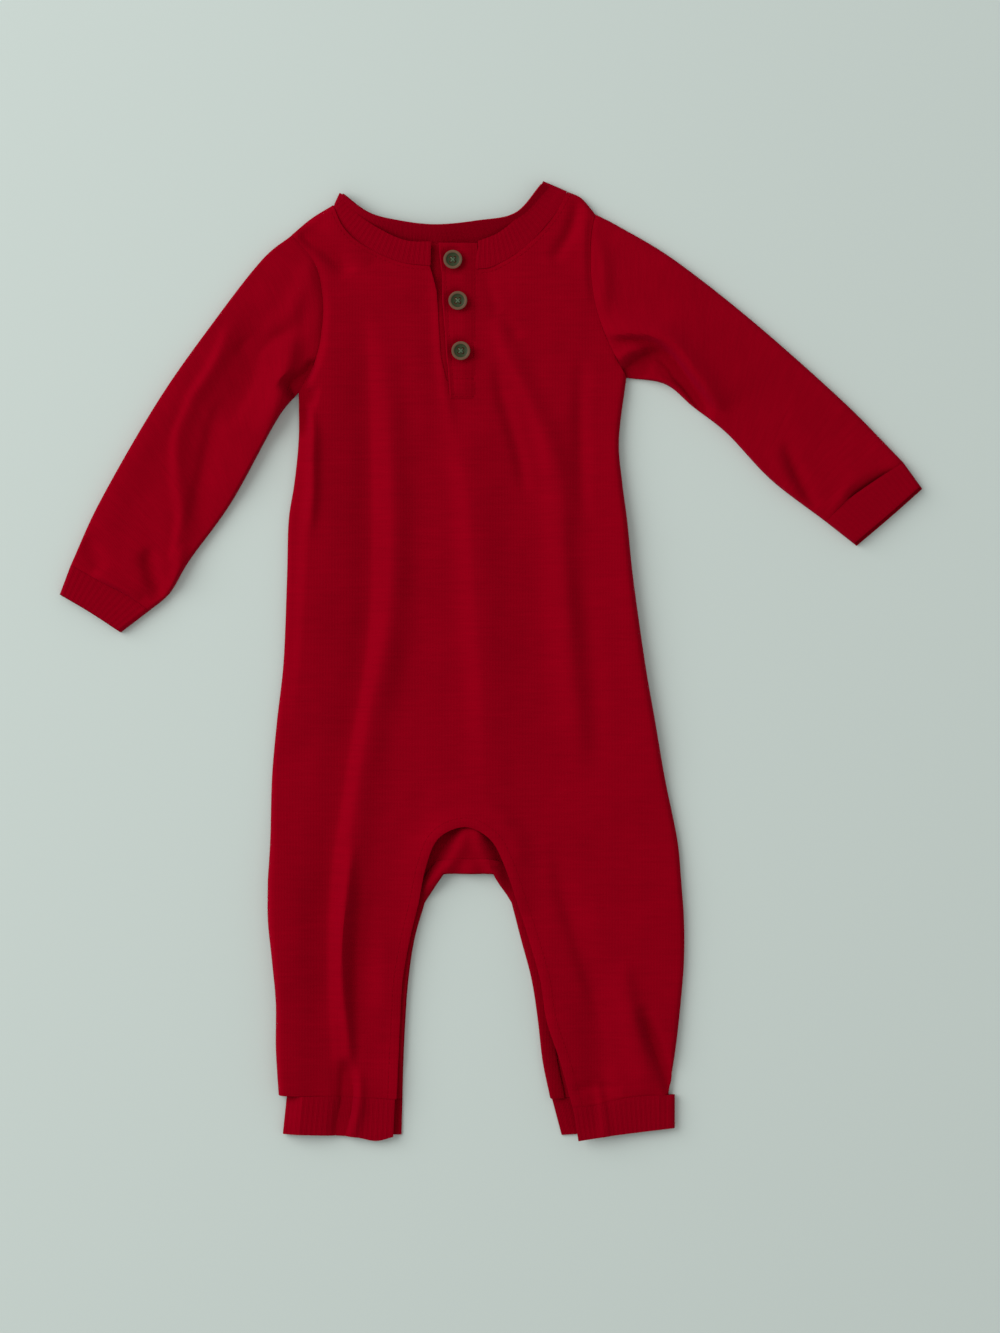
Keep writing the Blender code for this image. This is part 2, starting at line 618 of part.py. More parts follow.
def make_strip(name, pieces):
    outer = np.concatenate([piece[0] for piece in pieces], axis=1)
    inner = np.concatenate([piece[1] for piece in pieces], axis=1)
    wall(name, outer, inner, RIB)


def make_leg_cuff(cuff):
    length = np.linalg.norm(np.subtract(cuff.top[0], cuff.top[-1]))
    spaces = 2 * round(length / RIB_PITCH)
    top = smooth(cuff.top, spaces)
    end = smooth(cuff.end, spaces)
    rise = fold_height((top + end) / 2, LEG_FOLDS) * np.clip(np.arange(spaces + 1) / CUFF_CALM, 0, 1)
    front = half_sections(Half(end[::-1], top[::-1], (CUFF_LIFT + rise)[::-1], 1))
    turn = fold_sections(end[0], top[0], cuff.outward, CUFF_LIFT + RIB_WALL / 2, RIB_WALL / 2)
    back_top = straight((cuff.top[0], cuff.back_top), CUFF_BACK)
    back_end = straight((cuff.end[0], cuff.back_end), CUFF_BACK)
    back = np.stack([back_end, back_top])
    make_strip(f"leg_cuff_{cuff.name}", (front, turn, (raised(back, 0), raised(back, RIB_WALL))))


def make_neckband():
    def half(edge, seam, lift, side, down):
        length = np.linalg.norm(np.diff(smooth(edge, 20), axis=0), axis=1).sum()
        length += np.linalg.norm(np.diff(seam, axis=0), axis=1).sum()
        spaces = 2 * round(length / 2 / RIB_PITCH)
        edge = smooth(edge, spaces)
        seam = straight(seam, spaces)
        seam = shift(seam, edge, GAP)
        height = lift * np.cos(np.linspace(0, 0.5 * pi, spaces + 1)) if lift else 0
        made = half_sections(Half(edge, seam, height + (CUFF_LIFT if side > 0 else 0), side))
        return tuple(layer[:, ::-1] for layer in made) if down else made

    right_seam = smooth(RIGHT_NECK_SEAM, NECK)[::-1]
    left_seam = smooth(LEFT_NECK_SEAM, NECK)
    back_seam = smooth(BACK_NECK_SEAM, BACK_NECK)
    right_seam[0, 0] = RIGHT_BAND_EDGE[0][0]
    left_seam[0] = (LEFT_BAND_EDGE[0][0], left_seam[0][1])
    for seam, end in ((right_seam, -1), (back_seam, 0)):
        seam[end] = RIGHT_BAND_FOOT
    for seam, end in ((left_seam, -1), (back_seam, -1)):
        seam[end] = LEFT_BAND_FOOT
    heights = (CUFF_LIFT + RIB_WALL / 2, RIB_WALL / 2)
    right_turn = fold_sections(RIGHT_BAND_EDGE[-1], right_seam[-1], RIGHT_FOLD_OUT, *heights)
    left_turn = fold_sections(LEFT_BAND_EDGE[-1], left_seam[-1], LEFT_FOLD_OUT, *heights)
    make_strip(
        "neckband",
        (
            half(RIGHT_BAND_EDGE, right_seam, BAND_LIFT, 1, down=False),
            right_turn,
            half(BACK_BAND_EDGE, back_seam, 0, -1, down=False),
            tuple(layer[:, ::-1] for layer in left_turn),
            half(LEFT_BAND_EDGE, left_seam, BAND_LIFT, 1, down=True),
        ),
    )


# ---------------------------------------------------------------- placket and buttons

def make_plackets():
    right_top = (RIGHT_NECK_SEAM[-1][0], PLACKET_TOP)
    right_edge = joined(
        straight((right_top, RIGHT_NECK_SEAM[-1]), 2),
        straight((RIGHT_NECK_SEAM[-1], SLIT_END[0]), PLACKET_ROWS),
    )
    left_edge = straight(((LEFT_NECK_SEAM[0][0], PLACKET_TOP), SLIT_END[1]), PLACKET_ROWS + 2)
    across = np.linspace(0, 1, 3)[None, :, None]
    under = right_edge[:, None] * (1 - across) + left_edge[:, None] * across
    under = inset(under, GAP / 2)
    lift = front_lift(under)
    wall("placket_under", raised(under, lift + WALL), raised(under, lift), JERSEY)
    free = smooth(FREE_EDGE, PLACKET_ROWS + 1)
    sewn_x = LEFT_NECK_SEAM[0][0] + PLACKET_OVERLAP
    sewn = straight(((sewn_x, PLACKET_TOP), (sewn_x, FREE_EDGE[-1][1])), PLACKET_ROWS + 1)
    across = np.linspace(0, 1, 4)[None, :, None]
    upper = free[:, None] * (1 - across) + sewn[:, None] * across
    lift = front_lift(upper) + WALL + LAYER_GAP
    wall("placket_upper", raised(upper, lift + WALL), raised(upper, lift), JERSEY)


def make_button(name, centre):
    mesh = bpy.data.meshes.new(name)
    edges = [(index, index + 1) for index in range(len(BUTTON_PROFILE) - 1)]
    mesh.from_pydata([(x * MM, 0, z * MM) for x, z in BUTTON_PROFILE], edges, [])
    made = bpy.data.objects.new(name, mesh)
    PIECES.objects.link(made)
    turned = made.modifiers.new("Turned", "SCREW")
    turned.steps = BUTTON_STEPS
    turned.render_steps = BUTTON_STEPS
    turned.use_merge_vertices = True
    turned.merge_threshold = 0.00001
    base = float(front_lift(np.array([centre]))[0]) + WALL + LAYER_GAP + WALL + GAP
    made.location = (centre[0] * MM, centre[1] * MM, base * MM)
    drilled = made.modifiers.new("Thread holes", "BOOLEAN")
    drilled.operation = "DIFFERENCE"
    drilled.object = hole_cutter(name, made.location)
    shaded(made, HORN)


def hole_cutter(name, location):
    cage = bmesh.new()
    for x in (-HOLE_OFFSET, HOLE_OFFSET):
        for y in (-HOLE_OFFSET, HOLE_OFFSET):
            made = bmesh.ops.create_cone(
                cage,
                cap_ends=True,
                segments=HOLE_SIDES,
                radius1=HOLE_RADIUS * MM,
                radius2=HOLE_RADIUS * MM,
                depth=4 * BUTTON_FLOOR * MM,
            )
            bmesh.ops.translate(cage, verts=made["verts"], vec=(x * MM, y * MM, 0))
    mesh = bpy.data.meshes.new(f"{name} holes")
    cage.to_mesh(mesh)
    cage.free()
    cutter = bpy.data.objects.new(f"{name} holes", mesh)
    cutter.location = location
    cutter.hide_render = True
    cutter.display_type = "WIRE"
    CUTTERS.objects.link(cutter)
    return cutter


for old in list(bpy.data.objects):
    bpy.data.objects.remove(old)
PIECES = collection("onesie pajama")
CUTTERS = collection("cutters")

make_body()
make_tape()
for sleeve in SLEEVES:
    make_sleeve(sleeve)
    make_sleeve_cuff(sleeve)
for cuff in LEG_CUFFS:
    make_leg_cuff(cuff)
make_neckband()
make_plackets()
for button, centre in BUTTON_CENTRES:
    make_button(f"button_{button}", centre)
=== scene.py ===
"""Dresses the frame of a baby's henley romper, which lies flat on its back with the sleeves spread.

Plans and heights are worked out in millimetres and become metres where a mesh is made. Right and
left are the wearer's. +Z is up, +Y runs to the neck and +X to the wearer's left.
"""

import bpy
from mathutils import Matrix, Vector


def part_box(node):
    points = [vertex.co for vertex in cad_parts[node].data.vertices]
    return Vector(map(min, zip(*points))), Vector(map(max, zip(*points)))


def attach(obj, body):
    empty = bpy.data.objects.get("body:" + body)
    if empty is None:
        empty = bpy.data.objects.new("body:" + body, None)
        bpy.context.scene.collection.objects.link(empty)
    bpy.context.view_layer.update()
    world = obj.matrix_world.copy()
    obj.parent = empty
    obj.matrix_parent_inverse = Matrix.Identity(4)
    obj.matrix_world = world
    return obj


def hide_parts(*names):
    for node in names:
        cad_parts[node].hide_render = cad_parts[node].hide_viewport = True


bl_info = {
    "name": "Baby Romper",
    "version": (1, 0, 0),
    "blender": (4, 5, 0),
    "location": "3D View > Sidebar > Romper",
    "description": "Red slub jersey, rib knit, stitching and buttons for a baby's romper laid flat",
    "category": "Object",
}

from collections import namedtuple
from math import cos, hypot, pi, radians, sin, tau

import bpy
import numpy as np
from mathutils import Vector, noise

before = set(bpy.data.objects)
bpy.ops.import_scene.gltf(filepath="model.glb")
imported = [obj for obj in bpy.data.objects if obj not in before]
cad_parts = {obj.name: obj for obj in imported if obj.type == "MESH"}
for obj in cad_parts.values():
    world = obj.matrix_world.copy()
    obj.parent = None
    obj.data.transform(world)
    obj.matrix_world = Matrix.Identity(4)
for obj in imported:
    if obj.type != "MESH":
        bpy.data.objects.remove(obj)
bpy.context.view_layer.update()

MM = 0.001

# ---------------------------------------------------------------- how the cloth lies

WALL = 1.4  # thickness of a wall in the frame
GAP = 0.05  # between two panels at their seam
SEAM_LAP = 0.5  # a leg cuff's seam allowance under the hem
SEAM_LIFT = 1.7  # underside of the upper layer where it meets a seam
CROWN = 2.6  # how much higher the upper layer lies away from its seams
EDGE_REACH = 0.8  # the front rises within about this of its side seams
LOWEST_FRONT = SEAM_LIFT + 1.0
LOWEST_SLEEVE = 2.5
LOWEST_UNDER_PLACKET = 2.6
ARMHOLE_CALM = (0.8, 3.0)  # share that the folds lose at the armhole, and how far from it
SLEEVE_END_CALM = (0.7, 2.0)
UNDER_EDGE_REACH = 0.5  # a sleeve rises within about this of its under edge
CUFF_EDGE_REACH = 0.7
CUFF_FLOOR_RIBS = 0.4  # share of their height that a sleeve cuff's ribs keep on the underside
PLACKET_CALM = 17.0  # folds fade out within about this of the placket's middle
SLEEVE_FOLD_DEPTH = 1.25  # against the depths in the list of the sleeves' folds
BROAD_UNEVEN = 0.35
FINE_UNEVEN = 0.12
FRONT_UNEVEN = ((34, 3.0), (11, 8.0))  # size and seed of the broad and the fine unevenness
SLEEVE_UNEVEN = ((30, 5.0), (10, 9.0))

Dip = namedtuple("Dip", "depth reach")
NECK_SEAM_DIP = Dip(0.1, 2.0)
ARMHOLE_SEAM_DIP = Dip(0.15, 1.8)
SLEEVE_END_DIP = Dip(0.25, 1.6)
ARMHOLE_ROLL = 0.25  # height of the sleeve's roll beside the armhole seam
ARMHOLE_ROLL_PLACE = 3.2
ARMHOLE_ROLL_REACH = 2.0
HEM_STITCH_DIP = Dip(0.2, 1.3)
PLACKET_STITCH_DIP = Dip(0.3, 0.9)
STRIP_EDGE_DIP = Dip(0.25, 1.2)
STRIP_SEAM_REACH = 1.3
TAPE_LIFT = WALL + 0.95  # upper side of the inseam band
TAPE_BELLY = 0.15
LEFT_TAPE_SINK = 0.1
LEFT_TAPE_SWELL = 2.0
RIGHT_TAPE_SWELL = 1.7
HEM_WIDTH = 6.5
HEM_RISE = 0.5  # what the turned-in cloth adds
HEM_STEP = 2.0  # the higher, the sharper the step at the end of the hem
HEM_STITCHES = 5.4  # from the opening to the dip that the hem's stitches press

TUBE_ROUND = 0.8  # plan width of a flattened tube's rounded edge
TUBE_EDGE_HEIGHT = (SEAM_LIFT + WALL) / 2
TUBE_TURN_STEPS = 5
TUBE_CROWDING = 0.6  # how much closer a tube's points lie by its edges
TUBE_CLOTH = 0.9  # shares of the cloth's thickness
TAPE_CLOTH = 0.67
UNDER_PLACKET_CLOTH = 0.8

RIB_PITCH = 3.0
RIB_SPACES = 8  # spaces to one rib
RIB_WALL = 1.4
RIB_POWER = 1.2  # above 1 makes the furrows wider than the ribs' tops
RIB_FADE = 1.4  # ribs reach their full height this far from a strip's seam
CUFF_LIFT = 3.8  # underside of a folded strip's upper half
FOLD_LEVELS = (CUFF_LIFT + RIB_WALL / 2, RIB_WALL / 2)  # a folded strip's middle, above and below
CUFF_HEM_RISE = 1.15  # how much higher a leg cuff lies under its hem
CUFF_CALM = 20  # spaces from the fold over which a leg cuff's upper half rises
BAND_LIFT = 1.0  # how much higher the neckband lies at the placket
BACK_BAND_TILT = 7.0
BAND_END_SLANT = 0.4
STRIP_SHARES = (1 - np.cos(np.linspace(0, pi, 15))) / 2  # from seam to free edge, closer by both

PLACKET_LIFT = 1.5  # how much higher than the front the upper placket's upper side lies
PLACKET_SEWN_SINK = 1.6
PLACKET_FOOT_SINK = 1.55
PLACKET_FOOT_REACH = 2.0
SEWN_FROM = -16.0  # the upper placket sinks from here to its sewn edge
UNDER_DROPS = ((167, 0.2), (205, 0.4), (216, 1.2), (227, 3.0))  # deepest beside the top button
BUTTON_SINK = 2.1
BUTTON_SINK_REACH = 7.4

# ---------------------------------------------------------------- the cut, as the frame has it

FINE = 6  # spaces of these shells to one of the frame's
SHOULDER = 4 * FINE
NECK = 10 * FINE
SLIT = 2 * FINE
LEG = 10 * FINE
ARCH = 10 * FINE
ARMHOLE_ROWS = 9 * FINE
TORSO_ROWS = 19 * FINE
LEG_ROWS = 10 * FINE
SLEEVE_ROWS = 72
SLEEVE_COLUMNS = 36
SLEEVE_SPACES = (72, 30)  # round a sleeve: above and below
CUFF_RINGS = 9
CUFF_POINTS = 40  # along a sleeve cuff's seam and end
TAPE_ROWS = 7
INSEAM_SPACES = 48
CROTCH_SPACES = (8, 14, 8)
BACK_SLANT = 14  # spaces on each slanting side of the back's crotch edge
UNDER_PLACKET_ROWS = 12 * FINE
UNDER_PLACKET_POINTS = 9
UPPER_PLACKET_POINTS = 19
ARMHOLE_FADE = 3  # the higher, the less an armhole's curve reaches into the panel
SLEEVE_FADE = 4

RIGHT_NECK_POINT = (-94.4, 273.2)
RIGHT_TIP = (-119.3, 255.2)
RIGHT_ARMPIT = (-115, 161)
LEFT_NECK_POINT = (46.1, 281.2)
LEFT_TIP = (62.6, 268)
LEFT_ARMPIT = (81.5, 169.8)
RIGHT_SHOULDER = (RIGHT_TIP, (-107.6, 265), RIGHT_NECK_POINT)
LEFT_SHOULDER = (LEFT_NECK_POINT, (54.4, 277.4), LEFT_TIP)
RIGHT_ARMHOLE = (RIGHT_TIP, (-105, 237.5), (-100.5, 217), (-101, 199), (-104.6, 181), RIGHT_ARMPIT)
LEFT_ARMHOLE = (LEFT_TIP, (60, 252.5), (60, 232), (63.5, 210.5), (71, 190), LEFT_ARMPIT)
RIGHT_NECK_SEAM = (RIGHT_NECK_POINT, (-88, 259.5), (-76.5, 249), (-54.3, 239), (-36.3, 236.6))
LEFT_NECK_SEAM = ((-9.9, 234.6), (2, 236.5), (20.7, 248), (37, 265.5), LEFT_NECK_POINT)
BACK_SEAM_POINTS = ((-84, 261), (-70, 253.5), (-33, 246.6), (5, 250.3), (29, 262))
BACK_NECK_SEAM = (RIGHT_NECK_POINT, *BACK_SEAM_POINTS, LEFT_NECK_POINT)
SLIT_END = ((-26.1, 167.6), (-9.9, 167.6))
SLIT_EDGE = (RIGHT_NECK_SEAM[-1], (-34.4, 230), (-32.1, 221), (-31.1, 203), (-29.7, 182), SLIT_END[0])

Section = namedtuple("Section", "y right_seam left_seam")
TORSO = (
    Section(133, -115, 77),
    Section(107, -117.5, 79),
    Section(84, -121, 82),
    Section(50, -122, 85.5),
    Section(0, -124, 92.5),
    Section(-36, -128, 98.7),
    Section(-70, -131, 104.5),
    Section(-107, -132, 112),
)
HIP = Section(-131, -133.5, 114.3)
LEGS = (
    Section(-155, -133.5, 116),
    Section(-180, -131, 116),
    Section(-205, -128.7, 114),
    Section(-232, -128.7, 111),
)
HEM = Section(-260, -127, 106.5)
HEM_CORNER = (48.9, -266.5)
Inseam = namedtuple("Inseam", "y right_front right_back left_back left_front")
INSEAMS = (
    Inseam(-145, -43, -39.4, 12.6, 16),
    Inseam(-167, -48.3, -45.6, 18.3, 23),
    Inseam(-191, -52.5, -49.2, 24.6, 29.7),
    Inseam(-215, -54, -51, 28.3, 33.5),
    Inseam(-240, -55.2, -52.2, 31.2, 41.7),
    Inseam(-262.3, -56.2, -52.8, 35.8, 46.5),
)
FRONT_ARCH = ((-43, -145), (-38.5, -123), (-31, -106), (-15, -99.3), (0, -107), (8.5, -123), (16, -145))
BACK_CROTCH = ((-39.4, -145), (-28, -127.7), (2, -127.7), (12.6, -145))
CROTCH_BAND = 9.0
TAPE_INSET = 0.6

# A sleeve rises within about its upper reach of its upper edge, and its cuff is shorter above than
# below by the setback.
Sleeve = namedtuple("Sleeve", "name armhole upper under seam end_line upper_reach setback")
SLEEVES = (
    Sleeve(
        name="right",
        armhole=RIGHT_ARMHOLE,
        upper=(RIGHT_TIP, (-137, 240.6), (-165.3, 204.4), (-199, 156.6), (-233.7, 96.6), (-251.7, 57.6)),
        under=(RIGHT_ARMPIT, (-128.1, 144.6), (-155.1, 95.6), (-180.3, 60.6), (-192, 41), (-204.4, 30.3)),
        seam=((-251.7, 57.6), (-236, 48.8), (-218, 39.5), (-204.4, 30.3)),
        end_line=((-258.4, 39.8), (-239.8, 28.8), (-221.8, 17)),
        upper_reach=0.5,
        setback=0.6,
    ),
    Sleeve(
        name="left",
        armhole=LEFT_ARMHOLE,
        upper=(LEFT_TIP, (78, 260), (110.1, 240.6), (156.9, 204), (211, 156), (247.4, 119.2)),
        under=(LEFT_ARMPIT, (104.7, 166), (121.5, 152.4), (141.9, 136.4), (168.3, 108.6), (201, 83.6)),
        seam=((247.4, 119.2), (230, 108), (213.3, 96), (201, 83.6)),
        end_line=((259, 103.2), (240.8, 87), (219.6, 69)),
        upper_reach=1.5,
        setback=2.2,
    ),
)

LegCuff = namedtuple("LegCuff", "name outward top end back_top back_end")
LEG_CUFFS = (
    LegCuff(
        name="right",
        outward=(-1.0, 0.0),
        top=((-119.6, -261), (-88, -261.6), (-57.2, -262.9)),
        end=((-122, -283.4), (-98, -284.2), (-81, -285.2), (-68.7, -287.4), (-58.3, -285)),
        back_top=(-52.8, -262.9),
        back_end=(-53.4, -284),
    ),
    LegCuff(
        name="left",
        outward=(1.0, 0.06),
        top=((108, -260.4), (90, -260.9), (74, -263.4), (62, -266.4), (49.2, -267)),
        end=((108, -280), (89, -282.2), (71.1, -284.4), (52.6, -287.2)),
        back_top=(36.9, -262.9),
        back_end=(42.7, -284.3),
    ),
)

RIGHT_BAND_EDGE = ((-35.6, 251.1), (-50.1, 251.7), (-65.1, 258), (-80.1, 268.2), (-88.3, 279.4))
LEFT_BAND_EDGE = ((-7.3, 251.4), (4, 256), (14, 264), (24, 276.3), (30.6, 285.4))
BACK_EDGE_POINTS = ((-73, 268.3), (-55, 263.4), (-32.7, 261), (-7.5, 263.4), (15, 268))
BACK_BAND_EDGE = (RIGHT_BAND_EDGE[-1], *BACK_EDGE_POINTS, LEFT_BAND_EDGE[-1])
RIGHT_BAND_FOOT = (-91.5, 272.6)
LEFT_BAND_FOOT = (44.8, 279.3)
RIGHT_FOLD_OUT = (-0.888, 0.46)
LEFT_FOLD_OUT = (0.42, 0.907)

PLACKET_TOP = 250.2
PLACKET_OVERLAP = 2.4
FREE_EDGE = ((-31, 250.2), (-29.2, 235), (-28.8, 222.6), (-27.6, 203), (-25.6, 178), (-23.8, 156.6))
PLACKET_ROWS = 11 * FINE
PLACKET_STITCHES = (
    ((-28.8, 248), (-27.2, 235), (-26.6, 222.6), (-25.4, 203), (-23.4, 178), (-22, 159)),
    ((-9.6, 248), (-9.6, 205), (-9.6, 159)),
    ((-22.3, 169), (-9.6, 169)),
    ((-22.3, 158.4), (-9.6, 158.4)),
)
BUTTONS = (("top", (-22.5, 240)), ("middle", (-19.5, 215.4)), ("bottom", (-17.7, 185.4)))

# ---------------------------------------------------------------- folds and creases

# Ridges rise and troughs fall. Each follows its points and fades out at both ends, and a lean above 0
# makes the side to the left of its path the gentler one.
Crease = namedtuple("Crease", "name path rise width lean", defaults=(0.0,))
BODY_FOLDS = (
    Crease(
        "long ridge, chest to hip",
        ((-65, 202), (-61, 157), (-59, 115), (-58, 73), (-59, 37), (-62, 7), (-67, -25)),
        4.0, 8, 0.15,
    ),
    Crease(
        "long ridge, hip to knee",
        ((-60, 37), (-64.5, 7), (-70, -23), (-75, -53), (-80, -83), (-84, -115), (-87, -150), (-88, -185)),
        3.6, 8, 0.35,
    ),
    Crease(
        "long ridge, knee to hem",
        ((-82, -108), (-86, -140), (-88.5, -165), (-88, -195), (-85, -220), (-84, -245)),
        5.2, 3.8, -0.1,
    ),
    Crease(
        "centre ridge",
        (
            (-24, 165), (-21, 145), (-17, 125), (-12, 97), (-10, 67),
            (-8, 37), (-6, 7), (-4, -23), (-3, -60), (-2, -85),
        ),
        4.5, 13, 0.35,
    ),
    Crease(
        "left chest ridge",
        ((3, 206), (10, 184), (19, 166), (27, 148), (34, 127), (38, 105)),
        2.9, 6, 0.25,
    ),
    Crease(
        "left belly ridge",
        ((34, 150), (38.5, 128), (41.5, 97), (43, 67), (45, 37), (47, 7), (50, -23), (55, -60)),
        3.8, 8.5, -0.1,
    ),
    Crease("trough beside the placket", ((3, 182), (6, 162), (11, 145), (17, 124), (22, 97)), -2.1, 4.2),
    Crease(
        "left side trough",
        ((54.5, 184), (54, 165), (54, 140), (54.5, 112), (56.5, 82)),
        -2.0, 4.8,
    ),
    Crease("left hip trough", ((54, 61), (58, 25), (61, -5), (63, -35), (66, -71)), -1.0, 7),
    Crease("broad swell over the belly", ((78, 150), (81, 90), (87, 30), (95, -30), (104, -90)), 2.2, 36),
    Crease(
        "swell by the right armhole",
        ((-103, 262), (-104, 225), (-105, 185), (-105, 155), (-105, 135)),
        1.2, 11, 0.65,
    ),
    Crease(
        "broad swell by the right side seam",
        ((-106, 222), (-107, 170), (-106, 125), (-108, 80), (-112, 10), (-118, -45)),
        3.6, 17, 0.65,
    ),
    Crease(
        "broad swell outside the right knee",
        ((-131, -80), (-130, -150), (-128, -210), (-124, -330)),
        4.2, 24,
    ),
    Crease(
        "broad swell inside the left leg",
        ((27, -150), (34, -190), (40, -230), (50, -320)),
        4.2, 24, 0.5,
    ),
    Crease("left side swell", ((79, 175), (79, 121), (81, 73), (86, 25), (94, -29), (102, -77)), 1.2, 10),
    Crease(
        "right chest trough",
        ((-76, 215), (-75, 195), (-73, 157), (-72, 110), (-72, 60), (-73, 20), (-78, -22)),
        -2.0, 7, -0.45,
    ),
    Crease(
        "right hip trough",
        (
            (-73, 47), (-74, 10), (-79, -23), (-84.5, -53), (-89, -83), (-94, -113),
            (-97, -143), (-98, -180), (-97, -215), (-95, -250), (-94, -275),
        ),
        -2.5, 8, -0.6,
    ),
    Crease(
        "right leg crease",
        ((-77, -128), (-80.5, -150), (-83.5, -180), (-82.5, -215), (-79, -240)),
        -2.2, 3.2,
    ),
    Crease("inner right leg trough", ((-76, -140), (-78, -185), (-77, -228)), -1.6, 8),
    Crease("dimple under the left collarbone", ((6, 208), (13, 199), (17, 192)), -1.2, 4),
    Crease("trough beside the placket, upper", ((-5, 234), (0, 219), (5, 204)), -1.4, 4.5),
    Crease("right chest swell", ((-48, 217), (-45, 181), (-42, 139), (-41, 97)), 1, 10),
    Crease(
        "crease at the right armpit",
        ((-109, 152), (-106, 137), (-106, 119), (-106, 100), (-108, 76)),
        3.4, 3.4, -0.1,
    ),
    Crease("right shoulder trough", ((-117, 259), (-105, 252), (-94, 243), (-84, 231)), -4.8, 5.6),
    Crease("right shoulder swell", ((-101, 263), (-87, 254), (-71, 239)), 1.6, 7),
    Crease("left shoulder trough", ((53, 279), (50, 263), (44, 250), (36, 239)), -2.6, 4.2),
    Crease("left shoulder ridge", ((56, 275), (57, 257), (58, 237), (59, 214)), 1.2, 5),
    Crease("swell under the neckband", ((-84, 231), (-63, 223), (-41, 215)), 1.2, 8),
    Crease(
        "left thigh trough",
        ((38, -106), (43, -137), (50, -161), (57, -185), (65, -209), (71, -235), (74, -256)),
        -2.2, 7.2, 0.3,
    ),
    Crease(
        "left shin trough",
        ((90, -206), (94, -218), (99.5, -233), (105, -248), (110.5, -266)),
        -4.8, 3.9, 0.1,
    ),
    Crease("left shin ridge", ((78, -179), (84, -209), (90, -233), (97, -259)), 3.1, 7, -0.2),
    Crease("pucker over the left hem", ((49, -257), (64, -254), (79, -257)), -1.8, 2.8),
    Crease(
        "pucker over the right hem",
        ((-88, -238), (-85, -250), (-85, -264), (-88, -278), (-91, -290)),
        -6.5, 5.0, -0.25,
    ),
    Crease("hollow over the left hem", ((56, -195), (62, -228), (66, -252), (66, -285)), -2.6, 8, -0.2),
    Crease("ridge over the right hem", ((-79.5, -244), (-78.5, -254), (-79, -267), (-83, -286)), 2.4, 3.2),
    Crease("swell over the crotch", ((-39, -83), (-15, -79), (8, -93), (22, -121)), 1.3, 6.5),
    Crease(
        "rim of the crotch arch",
        ((-46, -152), (-38, -115), (-15, -96), (9, -110), (20, -152)),
        3.8, 11,
    ),
    Crease("pucker on the left cuff", ((64, -250), (67, -268), (69, -290)), 1.6, 3.0),
    Crease("inner right leg swell", ((-62, -161), (-63, -188), (-62, -215)), 1.3, 8),
)
SLEEVE_FOLDS = (
    Crease(
        "right sleeve long ridge, upper",
        ((-156, 203), (-162, 185), (-170, 170), (-178, 158), (-184, 142)),
        2.2, 4.5, 0.3,
    ),
    Crease(
        "right sleeve long ridge, lower",
        ((-180, 154), (-188, 133), (-188, 109), (-185, 89), (-187, 73), (-191, 57)),
        2.7, 4.5, 0.45,
    ),
    Crease(
        "right sleeve trough",
        ((-134, 214), (-139, 196), (-141, 180), (-144, 166), (-152, 152), (-160, 140)),
        -2.5, 9, -0.35,
    ),
    Crease(
        "right sleeve trough, lower",
        ((-158, 158), (-165, 146), (-169, 131), (-173, 112), (-177, 94), (-181, 76)),
        -1.6, 6, 0.4,
    ),
    Crease(
        "right sleeve swell",
        ((-110, 170), (-122, 150), (-134, 130), (-145, 111), (-155, 95)),
        2.0, 12, -0.3,
    ),
    Crease("right underarm crease", ((-154, 185), (-139, 190), (-126, 194), (-118, 198)), -2.2, 4.2),
    Crease("right sleeve head ridge", ((-109, 239), (-114, 218), (-123, 201)), 1.7, 5.5),
    Crease("right sleeve seam ridge", ((-111, 243), (-106, 226), (-105, 208), (-106, 188)), 1.3, 3.6),
    Crease("right cuff trough", ((-206, 68), (-203, 53), (-198, 37)), -3.4, 4.2),
    Crease("dent over the right cuff", ((-243, 73), (-238, 64), (-232, 53)), -1.6, 4.5),
    Crease("right cuff ridge", ((-184, 70), (-187, 53), (-191, 40)), 2, 4.2),
    Crease("right sleeve end roll", ((-238, 54), (-224, 46), (-209, 37)), 2.6, 2.6),
    Crease("right sleeve outer swell", ((-174, 187), (-198, 145), (-221, 103), (-237, 70)), 1.2, 10),
    Crease("left sleeve seam ridge", ((66, 254), (68, 232), (68, 209)), 1.8, 3.2),
    Crease(
        "left armpit roll",
        ((62, 193), (84, 195), (99, 193), (109, 186), (120, 172), (138, 149)),
        5.6, 6.0, 0.75,
    ),
    Crease(
        "broad swell over the left armpit roll",
        ((96, 198), (112, 188), (124, 171), (142, 148)),
        2.0, 11, 0.8,
    ),
    Crease("left armpit second roll", ((75, 178), (86, 185), (99, 182)), 1.3, 2.8),
    Crease("left armpit ledge", ((81, 171), (93, 178), (106, 173), (117, 161), (128, 149)), -1.2, 5),
    Crease("left under edge crease", ((99, 170), (112, 164), (126, 154)), 1.2, 2.4),
    Crease("left sleeve long ridge", ((81, 244), (126, 199), (168, 160), (204, 127)), 1.6, 15),
    Crease("left forearm trough", ((176, 131), (182, 115), (189, 101), (196, 91)), -2.2, 3.8, 0.2),
    Crease("left forearm ridge", ((168, 127), (176, 110), (183, 95)), 1.2, 4.5),
    Crease("left elbow hollow", ((186, 123), (200, 115), (217, 107)), -0.9, 4.5),
    Crease("left cuff trough", ((213, 95), (224, 103), (238, 113)), -2.2, 3.6),
    Crease("left cuff pucker", ((217, 107), (211, 97), (204, 85)), 1.6, 4),
)
